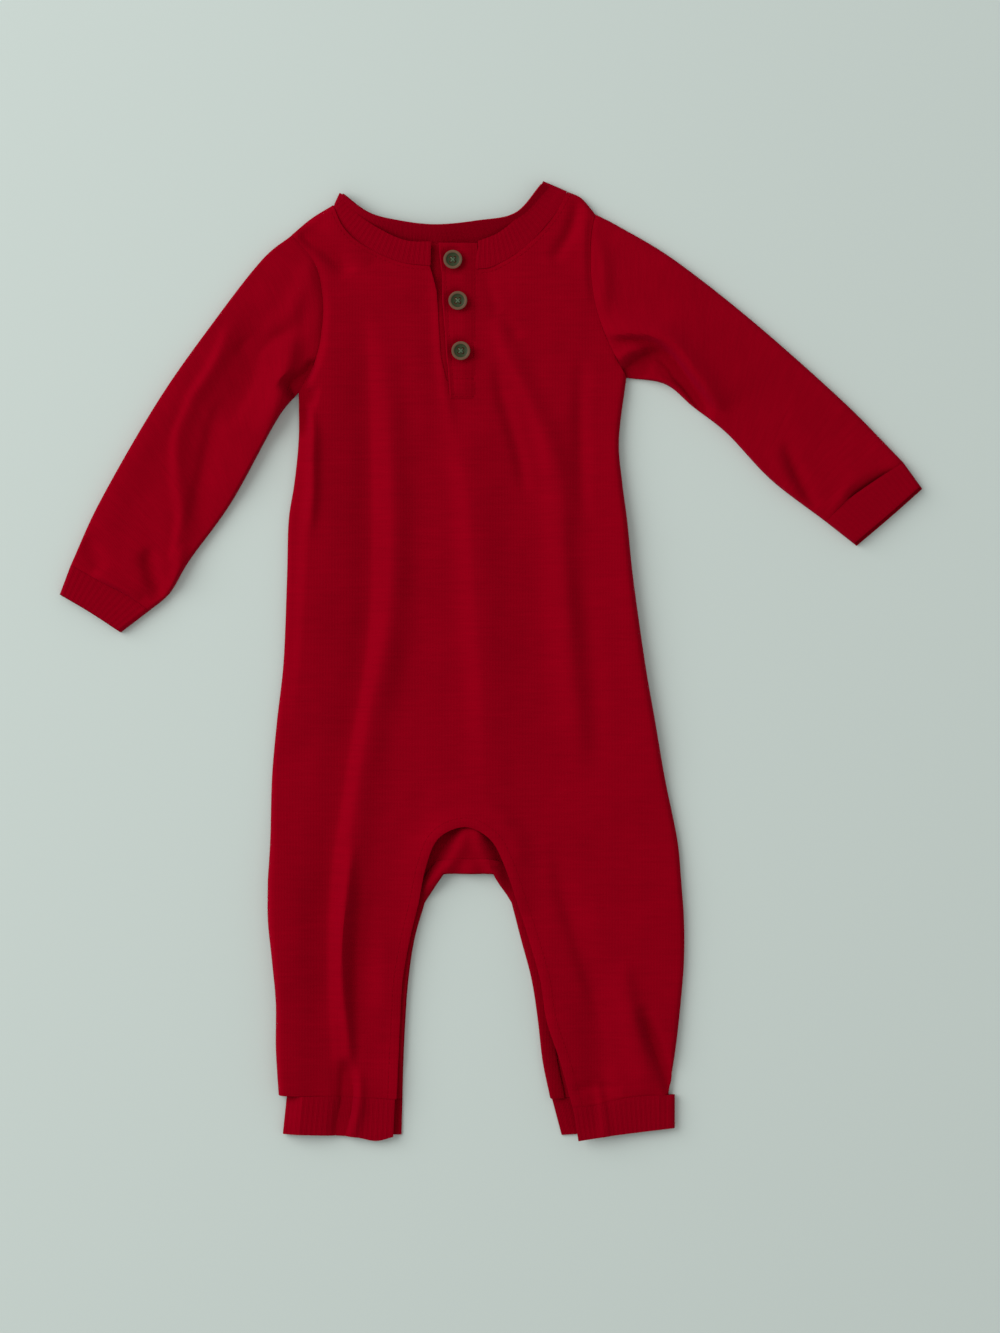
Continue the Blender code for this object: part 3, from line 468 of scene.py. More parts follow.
BACK_FOLDS = (
    Crease(
        "wedge at the crotch, right",
        ((-13, -92), (-16.5, -104), (-20, -113), (-27, -124), (-44, -142)),
        5.2, 5.0,
    ),
    Crease(
        "wedge at the crotch, middle",
        ((-11.5, -93), (-11.5, -104), (-11.5, -122), (-11.5, -142)),
        4.6, 9.0,
    ),
    Crease(
        "wedge at the crotch, left",
        ((-10.5, -92), (-7.5, -104), (-4, -113), (1, -124), (7, -140)),
        5.2, 4.4,
    ),
)
# Dents are pressed in after the folds, and keep their depth beside a seam.
RIGHT_ARMPIT_DENTS = (
    Crease("right armpit", ((-125, 169), (-117, 163), (-110, 159), (-103, 157)), -9.0, 4.4),
    Crease("right armpit, upper branch", ((-119, 159), (-112, 169), (-105, 181)), -7.0, 2.4),
    Crease("right armpit, lower branch", ((-117, 174), (-113, 150), (-111, 132)), -7.0, 3.6),
    Crease(
        "pad above the right armpit",
        ((-118, 198), (-120, 182), (-123, 169), (-126, 158), (-131, 146), (-137, 134)),
        4.5, 6.5, -0.2,
    ),
)
FRONT_DENTS = (
    *RIGHT_ARMPIT_DENTS,
    Crease("lip of the slit", ((-34, 236), (-31.5, 210), (-30.5, 190), (-27, 162), (-22, 136)), 1.4, 3.0),
)
SLEEVE_DENTS = (
    *RIGHT_ARMPIT_DENTS,
    Crease(
        "left armpit",
        ((73, 157), (82, 171), (91, 180), (99, 184), (107, 180), (116, 168), (132, 145)),
        -9.0, 3.0,
    ),
    Crease("left armpit, corner", ((72, 164), (83, 171), (95, 178)), -7.5, 4.6),
    Crease("ledge at the left armpit", ((68, 172), (77, 181), (87, 187), (97, 185)), 2.6, 3.4),
    Crease("left armpit, under layer", ((90, 172), (104, 171), (116, 162), (132, 146)), -0.6, 5.0),
    Crease("left cuff dent", ((212, 96), (222, 102), (231, 108), (242, 115)), -2.4, 2.8),
)

# ---------------------------------------------------------------- curves and grids, seen from above


def along_row(row):
    """How far along a row each of its points is."""
    return np.concatenate(([0.0], np.cumsum(np.linalg.norm(np.diff(row, axis=0), axis=1))))


def straight(points, spaces):
    """Evenly spaced points along straight lines between the given ones."""
    points = np.array(points, dtype=float)
    reach = along_row(points)
    places = np.linspace(0, reach[-1], spaces + 1)
    return np.stack([np.interp(places, reach, column) for column in points.T], axis=-1)


def smooth(points, spaces=30):
    """Evenly spaced points along a smooth curve through the given ones."""
    points = np.array(points, dtype=float)
    padded = np.vstack([2 * points[0] - points[1], points, 2 * points[-1] - points[-2]])
    t = np.linspace(0, 1, 12, endpoint=False)[:, None]
    curve = []
    for before, start, end, after in zip(padded, padded[1:], padded[2:], padded[3:]):
        bend = 2 * before - 5 * start + 4 * end - after
        twist = -before + 3 * start - 3 * end + after
        curve.append(start + 0.5 * ((end - before) * t + bend * t**2 + twist * t**3))
    return straight(np.vstack([*curve, points[-1:]]), spaces)


def joined(*pieces):
    """Curves laid end to end, with each shared point once."""
    return np.vstack([pieces[0], *(piece[1:] for piece in pieces[1:])])


def fill(top, bottom, right, left, fade=1):
    """A grid between a top and a bottom row and a right and a left column."""
    v = np.linspace(0, 1, len(right))[:, None, None]
    u = np.linspace(0, 1, len(top))[None, :, None]
    straight_columns = (1 - v) * top[None] + v * bottom[None]
    right_bend = right[:, None] - straight_columns[:, :1]
    left_bend = left[:, None] - straight_columns[:, -1:]
    return straight_columns + (1 - u) ** fade * right_bend + u**fade * left_bend


def measured_to(points, curve):
    """From each point to a curve: the distance, the side (above 0 on its left) and how far along."""
    start = curve[:-1]
    step = curve[1:] - start
    away = points[..., None, :] - start
    t = np.clip((away * step).sum(-1) / (step**2).sum(-1), 0, 1)
    distances = np.linalg.norm(away - t[..., None] * step, axis=-1)
    nearest = distances.argmin(-1)[..., None]
    cross = step[:, 0] * away[..., 1] - step[:, 1] * away[..., 0]
    side = np.sign(np.take_along_axis(cross, nearest, -1)[..., 0])
    along = (nearest[..., 0] + np.take_along_axis(t, nearest, -1)[..., 0]) / len(step)
    return distances.min(-1), side, along


def distance_to(points, *curves):
    """How far each point is from the nearest of the curves."""
    return np.min([measured_to(points, np.asarray(curve, dtype=float))[0] for curve in curves], axis=0)


def crease_height(points, creases):
    """The height that the creases add at each point."""
    height = np.zeros(points.shape[:-1])
    for row in creases:
        distance, side, along = measured_to(points, smooth(row.path, 16))
        width = row.width * (1 + row.lean * side)
        fade = 1 - np.abs(2 * along - 1) ** 3
        height += row.rise * fade * bell(distance, width)
    return height


def wobble(points, scale, seed):
    """Soft noise between about -1 and 1 with features of the given size."""
    flat = points.reshape(-1, points.shape[-1])
    values = [noise.noise(Vector((x / scale, y / scale, seed))) for x, y in flat[:, :2]]
    return np.array(values).reshape(points.shape[:-1]) * 2


def unevenness(points, broad, fine):
    """The small ups and downs of soft cloth; broad and fine are each a size and a seed."""
    return BROAD_UNEVEN * wobble(points, *broad) + FINE_UNEVEN * wobble(points, *fine)


def square_to(row):
    """Unit vectors square to each point of a row, all to the same side."""
    tangent = np.gradient(row, axis=0)
    return np.stack([-tangent[:, 1], tangent[:, 0]], axis=-1) / np.linalg.norm(tangent, axis=1)[:, None]


def shift(row, towards, gap):
    """A row moved square to itself by the gap, to the side where another row lies."""
    normals = square_to(row)
    side = np.sign(((towards - row) * normals).sum())
    return row + side * gap * normals


def ramp(values, start, end):
    """0 up to the start, 1 from the end on, and even between."""
    return np.clip((values - start) / (end - start), 0, 1)


def bell(distance, reach, power=2):
    """1 on a line, and less and less past its reach."""
    return np.exp(-((distance / reach) ** power))


def dipped(distance, dip):
    """How the cloth dips at a seam, an edge or a row of stitches."""
    return -dip.depth * bell(distance, dip.reach)


# ---------------------------------------------------------------- the body's cut

RIGHT_SIDE = (RIGHT_ARMPIT, *((row.right_seam, row.y) for row in TORSO), (HIP.right_seam, HIP.y))
LEFT_SIDE = (LEFT_ARMPIT, *((row.left_seam, row.y) for row in TORSO), (HIP.left_seam, HIP.y))
RIGHT_LEG_SIDE = (RIGHT_SIDE[-1], *((row.right_seam, row.y) for row in LEGS), (HEM.right_seam, HEM.y))
LEFT_LEG_SIDE = (LEFT_SIDE[-1], *((row.left_seam, row.y) for row in LEGS), (HEM.left_seam, HEM.y))
SIDE_SEAMS = (
    smooth(RIGHT_SIDE),
    smooth(LEFT_SIDE),
    smooth(RIGHT_LEG_SIDE, 12),
    smooth(LEFT_LEG_SIDE, 12),
    smooth(RIGHT_SHOULDER, 6),
    smooth(LEFT_SHOULDER, 6),
)
SLIT_MIDDLE = np.array(((-21, PLACKET_TOP), (-18, FREE_EDGE[-1][1])))
FRONT_OPENING = joined(
    smooth([(row.right_front, row.y) for row in reversed(INSEAMS)]),
    smooth(FRONT_ARCH, 40),
    smooth([*((row.left_front, row.y) for row in INSEAMS[:-1]), HEM_CORNER]),
)
NECK_SEAMS = (smooth(RIGHT_NECK_SEAM), smooth(LEFT_NECK_SEAM))
ARMHOLES = (smooth(RIGHT_ARMHOLE), smooth(LEFT_ARMHOLE))

Cut = namedtuple("Cut", "yoke crotch right_inseam left_inseam left_hem")


def front_yoke():
    """The front above the armpits, with the slit down from the neck left open."""
    side = SHOULDER + NECK
    right_chest = straight((RIGHT_SIDE[0], SLIT_END[0]), side)
    left_chest = straight((SLIT_END[1], LEFT_SIDE[0]), side)
    yoke = np.full((ARMHOLE_ROWS + 1, 2 * side + SLIT + 1, 2), np.nan)
    yoke[:, : side + 1] = fill(
        joined(smooth(RIGHT_SHOULDER, SHOULDER), smooth(RIGHT_NECK_SEAM, NECK)),
        right_chest,
        smooth(RIGHT_ARMHOLE, ARMHOLE_ROWS),
        straight(SLIT_EDGE, ARMHOLE_ROWS),
        ARMHOLE_FADE,
    )
    yoke[:, side + SLIT :] = fill(
        joined(smooth(LEFT_NECK_SEAM, NECK), smooth(LEFT_SHOULDER, SHOULDER)),
        left_chest,
        straight((LEFT_NECK_SEAM[0], SLIT_END[1]), ARMHOLE_ROWS),
        smooth(LEFT_ARMHOLE, ARMHOLE_ROWS),
        ARMHOLE_FADE,
    )
    yoke[-1] = joined(right_chest, straight(SLIT_END, SLIT), left_chest)
    return yoke


def back_yoke():
    """The back above the armpits, with as many columns as the front."""
    side = SHOULDER + NECK + SLIT // 2
    middle = (RIGHT_SIDE[0][0] + LEFT_SIDE[0][0]) / 2, (RIGHT_SIDE[0][1] + LEFT_SIDE[0][1]) / 2
    top = joined(
        smooth(RIGHT_SHOULDER, SHOULDER),
        smooth(BACK_NECK_SEAM, 2 * NECK + SLIT),
        smooth(LEFT_SHOULDER, SHOULDER),
    )
    chest = joined(straight((RIGHT_SIDE[0], middle), side), straight((middle, LEFT_SIDE[0]), side))
    return fill(top, chest, smooth(RIGHT_ARMHOLE, ARMHOLE_ROWS), smooth(LEFT_ARMHOLE, ARMHOLE_ROWS))


def front_cut():
    """The front's seams and edges."""
    return Cut(
        yoke=front_yoke(),
        crotch=joined(
            straight((RIGHT_SIDE[-1], FRONT_ARCH[0]), LEG),
            smooth(FRONT_ARCH, ARCH),
            straight((FRONT_ARCH[-1], LEFT_SIDE[-1]), LEG),
        ),
        right_inseam=[(row.right_front, row.y) for row in INSEAMS],
        left_inseam=[*((row.left_front, row.y) for row in INSEAMS[:-1]), HEM_CORNER],
        left_hem=(HEM_CORNER, (62, -265.9), (74, -262.9), (90, -260.4), (HEM.left_seam, HEM.y)),
    )


def back_cut():
    """The back's seams and edges."""
    return Cut(
        yoke=back_yoke(),
        crotch=joined(
            straight((RIGHT_SIDE[-1], BACK_CROTCH[0]), LEG),
            straight(BACK_CROTCH[:2], BACK_SLANT),
            straight(BACK_CROTCH[1:3], ARCH - 2 * BACK_SLANT),
            straight(BACK_CROTCH[2:], BACK_SLANT),
            straight((BACK_CROTCH[-1], LEFT_SIDE[-1]), LEG),
        ),
        right_inseam=[(row.right_back, row.y) for row in INSEAMS],
        left_inseam=[(row.left_back, row.y) for row in INSEAMS],
        left_hem=((INSEAMS[-1].left_back, INSEAMS[-1].y), (HEM.left_seam, HEM.y)),
    )


def body_plan(cut):
    """A body panel seen from above, as one grid that has no points where there is no cloth."""
    hip_row = ARMHOLE_ROWS + TORSO_ROWS
    plan = np.full((hip_row + LEG_ROWS + 1, len(cut.crotch), 2), np.nan)
    plan[: ARMHOLE_ROWS + 1] = cut.yoke
    sides = (smooth(RIGHT_SIDE, TORSO_ROWS), smooth(LEFT_SIDE, TORSO_ROWS))
    plan[ARMHOLE_ROWS : hip_row + 1] = fill(cut.yoke[-1], cut.crotch, *sides)
    right_hem = straight((RIGHT_LEG_SIDE[-1], cut.right_inseam[-1]), LEG)
    right_edges = (smooth(RIGHT_LEG_SIDE, LEG_ROWS), smooth(cut.right_inseam, LEG_ROWS))
    plan[hip_row:, : LEG + 1] = fill(cut.crotch[: LEG + 1], right_hem, *right_edges)
    left_hem = smooth(cut.left_hem, LEG)
    left_edges = (smooth(cut.left_inseam, LEG_ROWS), smooth(LEFT_LEG_SIDE, LEG_ROWS))
    plan[hip_row:, -LEG - 1 :] = fill(cut.crotch[-LEG - 1 :], left_hem, *left_edges)
    return plan


def rim_edges(there):
    """Pairs of neighbouring points on the rim of the cells whose four corners are all there."""
    rows, columns = there.shape
    number = np.arange(rows * columns).reshape(rows, columns)
    whole = there[:-1, :-1] & there[1:, :-1] & there[1:, 1:] & there[:-1, 1:]
    corners = (number[:-1, :-1], number[1:, :-1], number[1:, 1:], number[:-1, 1:])
    corners = [corner[whole] for corner in corners]
    edges = set()
    for starts, ends in zip(corners, corners[1:] + corners[:1]):
        edges.update(zip(starts.tolist(), ends.tolist()))
    return sorted(edge for edge in edges if edge[::-1] not in edges)


def inset(plan, gap):
    """The plan with the points on its edges moved in by the gap."""
    points = plan.reshape(-1, 2)
    following = dict(rim_edges(~np.isnan(plan[..., 0])))
    moved = points.copy()
    for before, point in following.items():
        tangent = points[following[point]] - points[before]
        inward = np.array((-tangent[1], tangent[0])) / np.linalg.norm(tangent)
        moved[point] = points[point] + gap * inward
    return moved.reshape(plan.shape)


def front_top(points, depth):
    """Height of the front's upper side."""
    rise = 1 - np.exp(-distance_to(points, *SIDE_SEAMS) / EDGE_REACH)
    loss, reach = ARMHOLE_CALM
    calm = 1 - bell(distance_to(points, SLIT_MIDDLE), PLACKET_CALM, 4)
    calm *= 1 - loss * bell(distance_to(points, *ARMHOLES), reach)
    folds = crease_height(points, BODY_FOLDS) + unevenness(points, *FRONT_UNEVEN)
    height = SEAM_LIFT + WALL + rise * (CROWN + calm * depth * folds)
    return np.maximum(height + depth * crease_height(points, FRONT_DENTS), LOWEST_FRONT)


def front_finish(points):
    """Seams pressed into the front, and its turned hem round the opening between the legs."""
    height = dipped(distance_to(points, *NECK_SEAMS), NECK_SEAM_DIP)
    height += dipped(distance_to(points, *ARMHOLES), ARMHOLE_SEAM_DIP)
    to_opening = distance_to(points, FRONT_OPENING)
    past_hem = np.clip(HEM_STEP * (to_opening - HEM_WIDTH), -30, 30)  # within what exp can take
    height += HEM_RISE / (1 + np.exp(past_hem))
    return height + dipped(to_opening - HEM_STITCHES, HEM_STITCH_DIP)


# ---------------------------------------------------------------- meshes


def deselect_all():
    """Leaves nothing selected, in object mode."""
    if bpy.context.object and bpy.context.object.mode != "OBJECT":
        bpy.ops.object.mode_set(mode="OBJECT")
    bpy.ops.object.select_all(action="DESELECT")


def select_only(piece):
    """Selects one piece and makes it the active one."""
    deselect_all()
    piece.select_set(True)
    bpy.context.view_layer.objects.active = piece


def join(pieces):
    """Makes one object of several."""
    deselect_all()
    for piece in pieces:
        piece.select_set(True)
    bpy.context.view_layer.objects.active = pieces[0]
    bpy.ops.object.join()
    return bpy.context.object


def apply_modifiers(piece):
    """Applies all of a piece's modifiers, in order."""
    select_only(piece)
    for modifier in list(piece.modifiers):
        bpy.ops.object.modifier_apply(modifier=modifier.name)


def named(piece, name):
    """Names a piece and its mesh."""
    piece.name = name
    piece.data.name = name
    return piece


def laid_out(name, points, weave):
    """A grid laid out to rows of points, with its weave coordinates."""
    rows, columns = points.shape[:2]
    deselect_all()
    bpy.ops.mesh.primitive_grid_add(x_subdivisions=columns - 1, y_subdivisions=rows - 1, size=1)
    piece = named(bpy.context.object, name)
    mesh = piece.data
    mesh.vertices.foreach_set("co", np.nan_to_num(points * MM).astype(np.float32).ravel())
    corners = np.zeros(len(mesh.loops), dtype=np.int32)
    mesh.loops.foreach_get("vertex_index", corners)
    layer = mesh.uv_layers[0]
    layer.name = "weave"
    layer.data.foreach_set("uv", (weave.reshape(-1, 2) * MM)[corners].astype(np.float32).ravel())
    return piece


def turning(across, down):
    """Above 0 where a grid's rows and columns make its faces point up."""
    return np.nansum(across[..., 0] * down[..., 1] - across[..., 1] * down[..., 0])


def cloth_grid(name, points, weave):
    """A sheet from rows of points that faces up; cells with missing points go."""
    corner = points[:-1, :-1]
    if turning(points[:-1, 1:] - corner, points[1:, :-1] - corner) < 0:
        points = points[::-1]
        weave = weave[::-1]
    piece = laid_out(name, points, weave)
    missing = np.isnan(points).any(-1).ravel()
    if missing.any():
        mesh = piece.data
        mesh.polygons.foreach_set("select", np.zeros(len(mesh.polygons), dtype=bool))
        mesh.edges.foreach_set("select", np.zeros(len(mesh.edges), dtype=bool))
        mesh.vertices.foreach_set("select", missing)
        bpy.ops.object.mode_set(mode="EDIT")
        bpy.ops.mesh.delete(type="VERT")
        bpy.ops.object.mode_set(mode="OBJECT")
    return piece


def cloth_tube(name, rings, around, out):
    """A tube from rings of points that faces out; around and out are its weave coordinates."""
    points = np.stack(rings)
    weave = np.stack([around, np.broadcast_to(np.asarray(out)[:, None], around.shape)], axis=-1)
    top = points[:, : points.shape[1] // 3]
    if turning(np.diff(top, axis=1)[:-1], np.diff(top, axis=0)[:, :-1]) < 0:
        points = points[::-1]
        weave = weave[::-1]
    piece = laid_out(name, points, weave)
    bpy.ops.object.mode_set(mode="EDIT")
    bpy.ops.mesh.select_all(action="SELECT")
    bpy.ops.mesh.remove_doubles(threshold=0.000002)
    bpy.ops.object.mode_set(mode="OBJECT")
    return piece


def thicken(piece, thickness, offset=-1.0, rim=0.3):
    """Gives a sheet its wall, with softly rounded edges."""
    wall = piece.modifiers.new("Cloth thickness", "SOLIDIFY")
    wall.thickness = thickness * MM
    wall.offset = offset
    rounded = piece.modifiers.new("Soft edges", "BEVEL")
    rounded.width = rim * MM
    rounded.segments = 2
    rounded.limit_method = "ANGLE"
    rounded.angle_limit = radians(55)
    rounded.harden_normals = False
    apply_modifiers(piece)
    bpy.ops.object.shade_smooth()
    return piece


def finish_piece(piece, node, material):
    """Gives a piece its material and sets it in the place of a node of the frame."""
    piece.data.materials.clear()
    piece.data.materials.append(material)
    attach(piece, "root")
    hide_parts(node)
    return piece


# ---------------------------------------------------------------- materials

WALE = 0.0009  # width and height of a knit stitch, in metres
COURSE = 0.00075
STITCH_SLOPE = 0.9
THIN_YARN = (70, 1000)  # features to a metre, along and across the yarn
THICK_YARN = (40, 420)
FUZZ = (1500, 1500)
CLOUDS = (26, 34)
SEWING_FIBRES = (2400, 2400)
HORN_CLOUDS = (420, 160)
HORN_GRAIN = (2600, 2600)
STITCH_RELIEF = {"jersey": 0.18, "rib": 0.3}
SLUB_RELIEF = 0.5
FUZZ_RELIEF = 0.25
STITCH_SHADE = 0.035  # painted shade and light: how much darker a stitch's furrows and lighter its top are painted
CLOUD_TONE = (0.16, 0.92)  # range of the shades, and the darkest
RIB_SLUB = 0.4  # the rib's yarn is more even than the jersey's
KNIT_BUMP = (0.6, 0.00035)  # strength and depth, in metres
KNIT_SURFACE = {
    "Roughness": 0.95,
    "Specular IOR Level": 0.05,
    "Specular Tint": (1.0, 0.05, 0.12, 1),
    "Sheen Weight": 0.12,
    "Sheen Roughness": 0.5,
    "Sheen Tint": (1.0, 0.0, 0.14, 1),
}
FIBRE_TONE = (0.5, 0.75)
HORN_BUMP = (0.15, 0.0001)
RIM_STREAKS = (0.10, 0.058, 0.034, 1)
DISH_STREAKS = (0.038, 0.052, 0.022, 1)


def new_material(name):
    """A material with its nodes and links."""
    material = bpy.data.materials.new(name)
    material.use_nodes = True
    return material, material.node_tree.nodes, material.node_tree.links


def set_inputs(node, values):
    """Sets a node's inputs by their names."""
    for name, value in values.items():
        node.inputs[name].default_value = value


def math_node(nodes, links, operation, *inputs):
    """A Math node's output; each input is a number or another output."""
    node = nodes.new("ShaderNodeMath")
    node.operation = operation
    for socket, value in zip(node.inputs, inputs):
        if isinstance(value, (int, float)):
            socket.default_value = value
        else:
            links.new(value, socket)
    return node.outputs[0]


def stretched_noise(nodes, links, coordinates, scale, detail=2.0, roughness=0.5):
    """Noise with its own scale, per metre, along and across the weave."""
    mapping = nodes.new("ShaderNodeMapping")
    mapping.inputs["Scale"].default_value = (scale[0], scale[1], 1)
    links.new(coordinates, mapping.inputs["Vector"])
    made = nodes.new("ShaderNodeTexNoise")
    set_inputs(made, {"Scale": 1.0, "Detail": detail, "Roughness": roughness})
    links.new(mapping.outputs[0], made.inputs["Vector"])
    return made.outputs["Fac"]


def toned(nodes, links, colour, tone):
    """A colour made lighter and darker by a tone."""
    shade = nodes.new("ShaderNodeVectorMath")
    shade.operation = "SCALE"
    shade.inputs[0].default_value = colour[:3]
    links.new(tone, shade.inputs["Scale"])
    return shade.outputs[0]


def bumped(nodes, links, relief, strength, depth):
    """Normals that follow a relief."""
    bump = nodes.new("ShaderNodeBump")
    set_inputs(bump, {"Strength": strength, "Distance": depth})
    links.new(relief, bump.inputs["Height"])
    return bump.outputs[0]


def knit_material(name, colour, slub, stitch_depth):
    """Fine jersey or rib: knit stitches, thick and thin yarn along the courses, and soft fuzz."""
    material, nodes, links = new_material(name)
    shader = nodes["Principled BSDF"]
    weave = nodes.new("ShaderNodeUVMap")
    weave.uv_map = "weave"
    weave = weave.outputs[0]
    split = nodes.new("ShaderNodeSeparateXYZ")
    links.new(weave, split.inputs[0])
    # knit stitches: chevrons
    wales = math_node(nodes, links, "PINGPONG", split.outputs["X"], WALE / 2)
    slanted = math_node(nodes, links, "MULTIPLY_ADD", wales, STITCH_SLOPE, split.outputs["Y"])
    turns = math_node(nodes, links, "MULTIPLY", slanted, tau / COURSE)
    stitches = math_node(nodes, links, "SINE", turns)
    groove = math_node(nodes, links, "MULTIPLY", split.outputs["X"], tau / WALE)
    groove = math_node(nodes, links, "COSINE", groove)
    knit = math_node(nodes, links, "ADD", stitches, groove)
    # thick and thin yarn, fuzz and clouds
    thin = stretched_noise(nodes, links, weave, THIN_YARN, 2)
    thick = stretched_noise(nodes, links, weave, THICK_YARN, 1)
    fuzz = stretched_noise(nodes, links, weave, FUZZ, 3, 0.7)
    cloudy = stretched_noise(nodes, links, weave, CLOUDS, 3)
    slubs = math_node(nodes, links, "ADD", thin, thick)
    slubs = math_node(nodes, links, "SUBTRACT", slubs, 1.0)
    # colour: the yarn's own slub and clouds, and painted shade in the stitches' furrows
    tone = math_node(nodes, links, "MULTIPLY", slubs, slub)
    tone = math_node(nodes, links, "ADD", tone, 1.0)
    cloud = math_node(nodes, links, "MULTIPLY_ADD", cloudy, *CLOUD_TONE)
    tone = math_node(nodes, links, "MULTIPLY", tone, cloud)
    # painted shade: the knit's furrows darker and its stitch tops lighter
    yarn = math_node(nodes, links, "MULTIPLY_ADD", knit, STITCH_SHADE, 1.0)
    tone = math_node(nodes, links, "MULTIPLY", tone, yarn)
    links.new(toned(nodes, links, colour, tone), shader.inputs["Base Color"])
    # relief
    relief = math_node(nodes, links, "MULTIPLY", slubs, SLUB_RELIEF)
    relief = math_node(nodes, links, "MULTIPLY_ADD", knit, stitch_depth, relief)
    relief = math_node(nodes, links, "MULTIPLY_ADD", fuzz, FUZZ_RELIEF, relief)
    links.new(bumped(nodes, links, relief, *KNIT_BUMP), shader.inputs["Normal"])
    set_inputs(shader, KNIT_SURFACE)
    return material


def thread_material(name, colour):
    """Twisted sewing thread."""
    material, nodes, links = new_material(name)
    shader = nodes["Principled BSDF"]
    place = nodes.new("ShaderNodeTexCoord")
    fibres = stretched_noise(nodes, links, place.outputs["Object"], SEWING_FIBRES, 2)
    tone = math_node(nodes, links, "MULTIPLY_ADD", fibres, *FIBRE_TONE)
    links.new(toned(nodes, links, colour, tone), shader.inputs["Base Color"])
    set_inputs(shader, {"Roughness": 0.7, "Specular IOR Level": 0.15, "Specular Tint": colour})
    return material


def horn_material(name, colour, streak):
    """Polished horn with cloudy streaks."""
    material, nodes, links = new_material(name)
    shader = nodes["Principled BSDF"]
    place = nodes.new("ShaderNodeTexCoord")
    cloudy = stretched_noise(nodes, links, place.outputs["Object"], HORN_CLOUDS, 4, 0.6)
    blend = nodes.new("ShaderNodeMix")
    blend.data_type = "RGBA"
    blend.inputs["A"].default_value = colour
    blend.inputs["B"].default_value = streak
    links.new(cloudy, blend.inputs["Factor"])
    links.new(blend.outputs["Result"], shader.inputs["Base Color"])
    grain = stretched_noise(nodes, links, place.outputs["Object"], HORN_GRAIN, 2)
    links.new(bumped(nodes, links, grain, *HORN_BUMP), shader.inputs["Normal"])
    set_inputs(shader, {"Roughness": 0.5, "Specular IOR Level": 0.15})
    return material


def plain_material(name, colour, roughness):
    """One even colour."""
    material, nodes, _ = new_material(name)
    values = {"Base Color": colour, "Roughness": roughness, "Specular IOR Level": 0.1}
    set_inputs(nodes["Principled BSDF"], values)
    return material


def shared(name, make):
    """The material of that name, made the first time it is asked for."""
    return bpy.data.materials.get(name) or make(name)


def jersey(context):
    """The red slub jersey, made once."""
    look = context.scene.romper_look
    knit = (look.cloth_colour, look.slub, STITCH_RELIEF["jersey"])
    return shared("Red slub jersey", lambda name: knit_material(name, *knit))


def rib_knit(context):
    """The red rib knit, made once."""
    look = context.scene.romper_look
    knit = (look.rib_colour, look.slub * RIB_SLUB, STITCH_RELIEF["rib"])
    return shared("Red rib knit", lambda name: knit_material(name, *knit))


# ---------------------------------------------------------------- settings


class RomperSizes(bpy.types.PropertyGroup):
    cloth: bpy.props.FloatProperty(
        name="Cloth", description="Thickness of the jersey and the rib", default=0.0012, min=0.0008,
        max=0.0014, unit="LENGTH", precision=4,
    )
    crease_depth: bpy.props.FloatProperty(
        name="Crease depth", description="Depth of the folds and creases, against how the cloth lies",
        default=1.0, min=0.0, max=2.0, subtype="FACTOR",
    )
    rib_rise: bpy.props.FloatProperty(
        name="Rib height", description="How far each rib stands up", default=0.00015, min=0.0,
        max=0.0012, unit="LENGTH", precision=4,
    )
    stitch: bpy.props.FloatProperty(
        name="Stitch", description="Length of one topstitch", default=0.0023, min=0.001, max=0.005,
        unit="LENGTH", precision=4,
    )
    button: bpy.props.FloatProperty(
        name="Button", description="Diameter of a button", default=0.0116, min=0.008, max=0.02,
        unit="LENGTH", precision=4,
    )


class RomperLook(bpy.types.PropertyGroup):
    cloth_colour: bpy.props.FloatVectorProperty(
        name="Jersey", description="Colour of the jersey", subtype="COLOR", size=4, min=0, max=1,
        default=(0.272, 0.0, 0.0075, 1),
    )
    rib_colour: bpy.props.FloatVectorProperty(
        name="Rib", description="Colour of the rib knit", subtype="COLOR", size=4, min=0, max=1,
        default=(0.262, 0.0, 0.0075, 1),
    )
    rim_colour: bpy.props.FloatVectorProperty(
        name="Button rim", description="Colour of a button's rim", subtype="COLOR", size=4, min=0, max=1,
        default=(0.16, 0.085, 0.05, 1),
    )
    dish_colour: bpy.props.FloatVectorProperty(
        name="Button dish", description="Colour of a button's hollow middle", subtype="COLOR", size=4,
        min=0, max=1, default=(0.024, 0.033, 0.012, 1),
    )
    thread_colour: bpy.props.FloatVectorProperty(
        name="Button thread", description="Colour of the thread that holds the buttons",
        subtype="COLOR", size=4, min=0, max=1, default=(0.09, 0.13, 0.08, 1),
    )
    floor_colour: bpy.props.FloatVectorProperty(
        name="Floor", description="Colour of the floor", subtype="COLOR", size=4, min=0, max=1,
        default=(0.60, 0.68, 0.64, 1),
    )
    slub: bpy.props.FloatProperty(
        name="Slub", description="How much lighter and darker the uneven yarn is", default=0.16,
        min=0.0, max=1.0, subtype="FACTOR",
    )


class RomperStage(bpy.types.PropertyGroup):
    camera_height: bpy.props.FloatProperty(
        name="Camera height", description="Height of the camera above the floor", default=2.2, min=0.5,
        max=5.0, unit="LENGTH",
    )
    window_power: bpy.props.FloatProperty(
        name="Window light", description="Power of the large light at the upper left", default=88.0,
        min=0.0, max=1000.0,
    )
    room_light: bpy.props.FloatProperty(
        name="Room light", description="Strength of the even light from all round", default=0.52,
        min=0.0, max=5.0,
    )


# ---------------------------------------------------------------- body


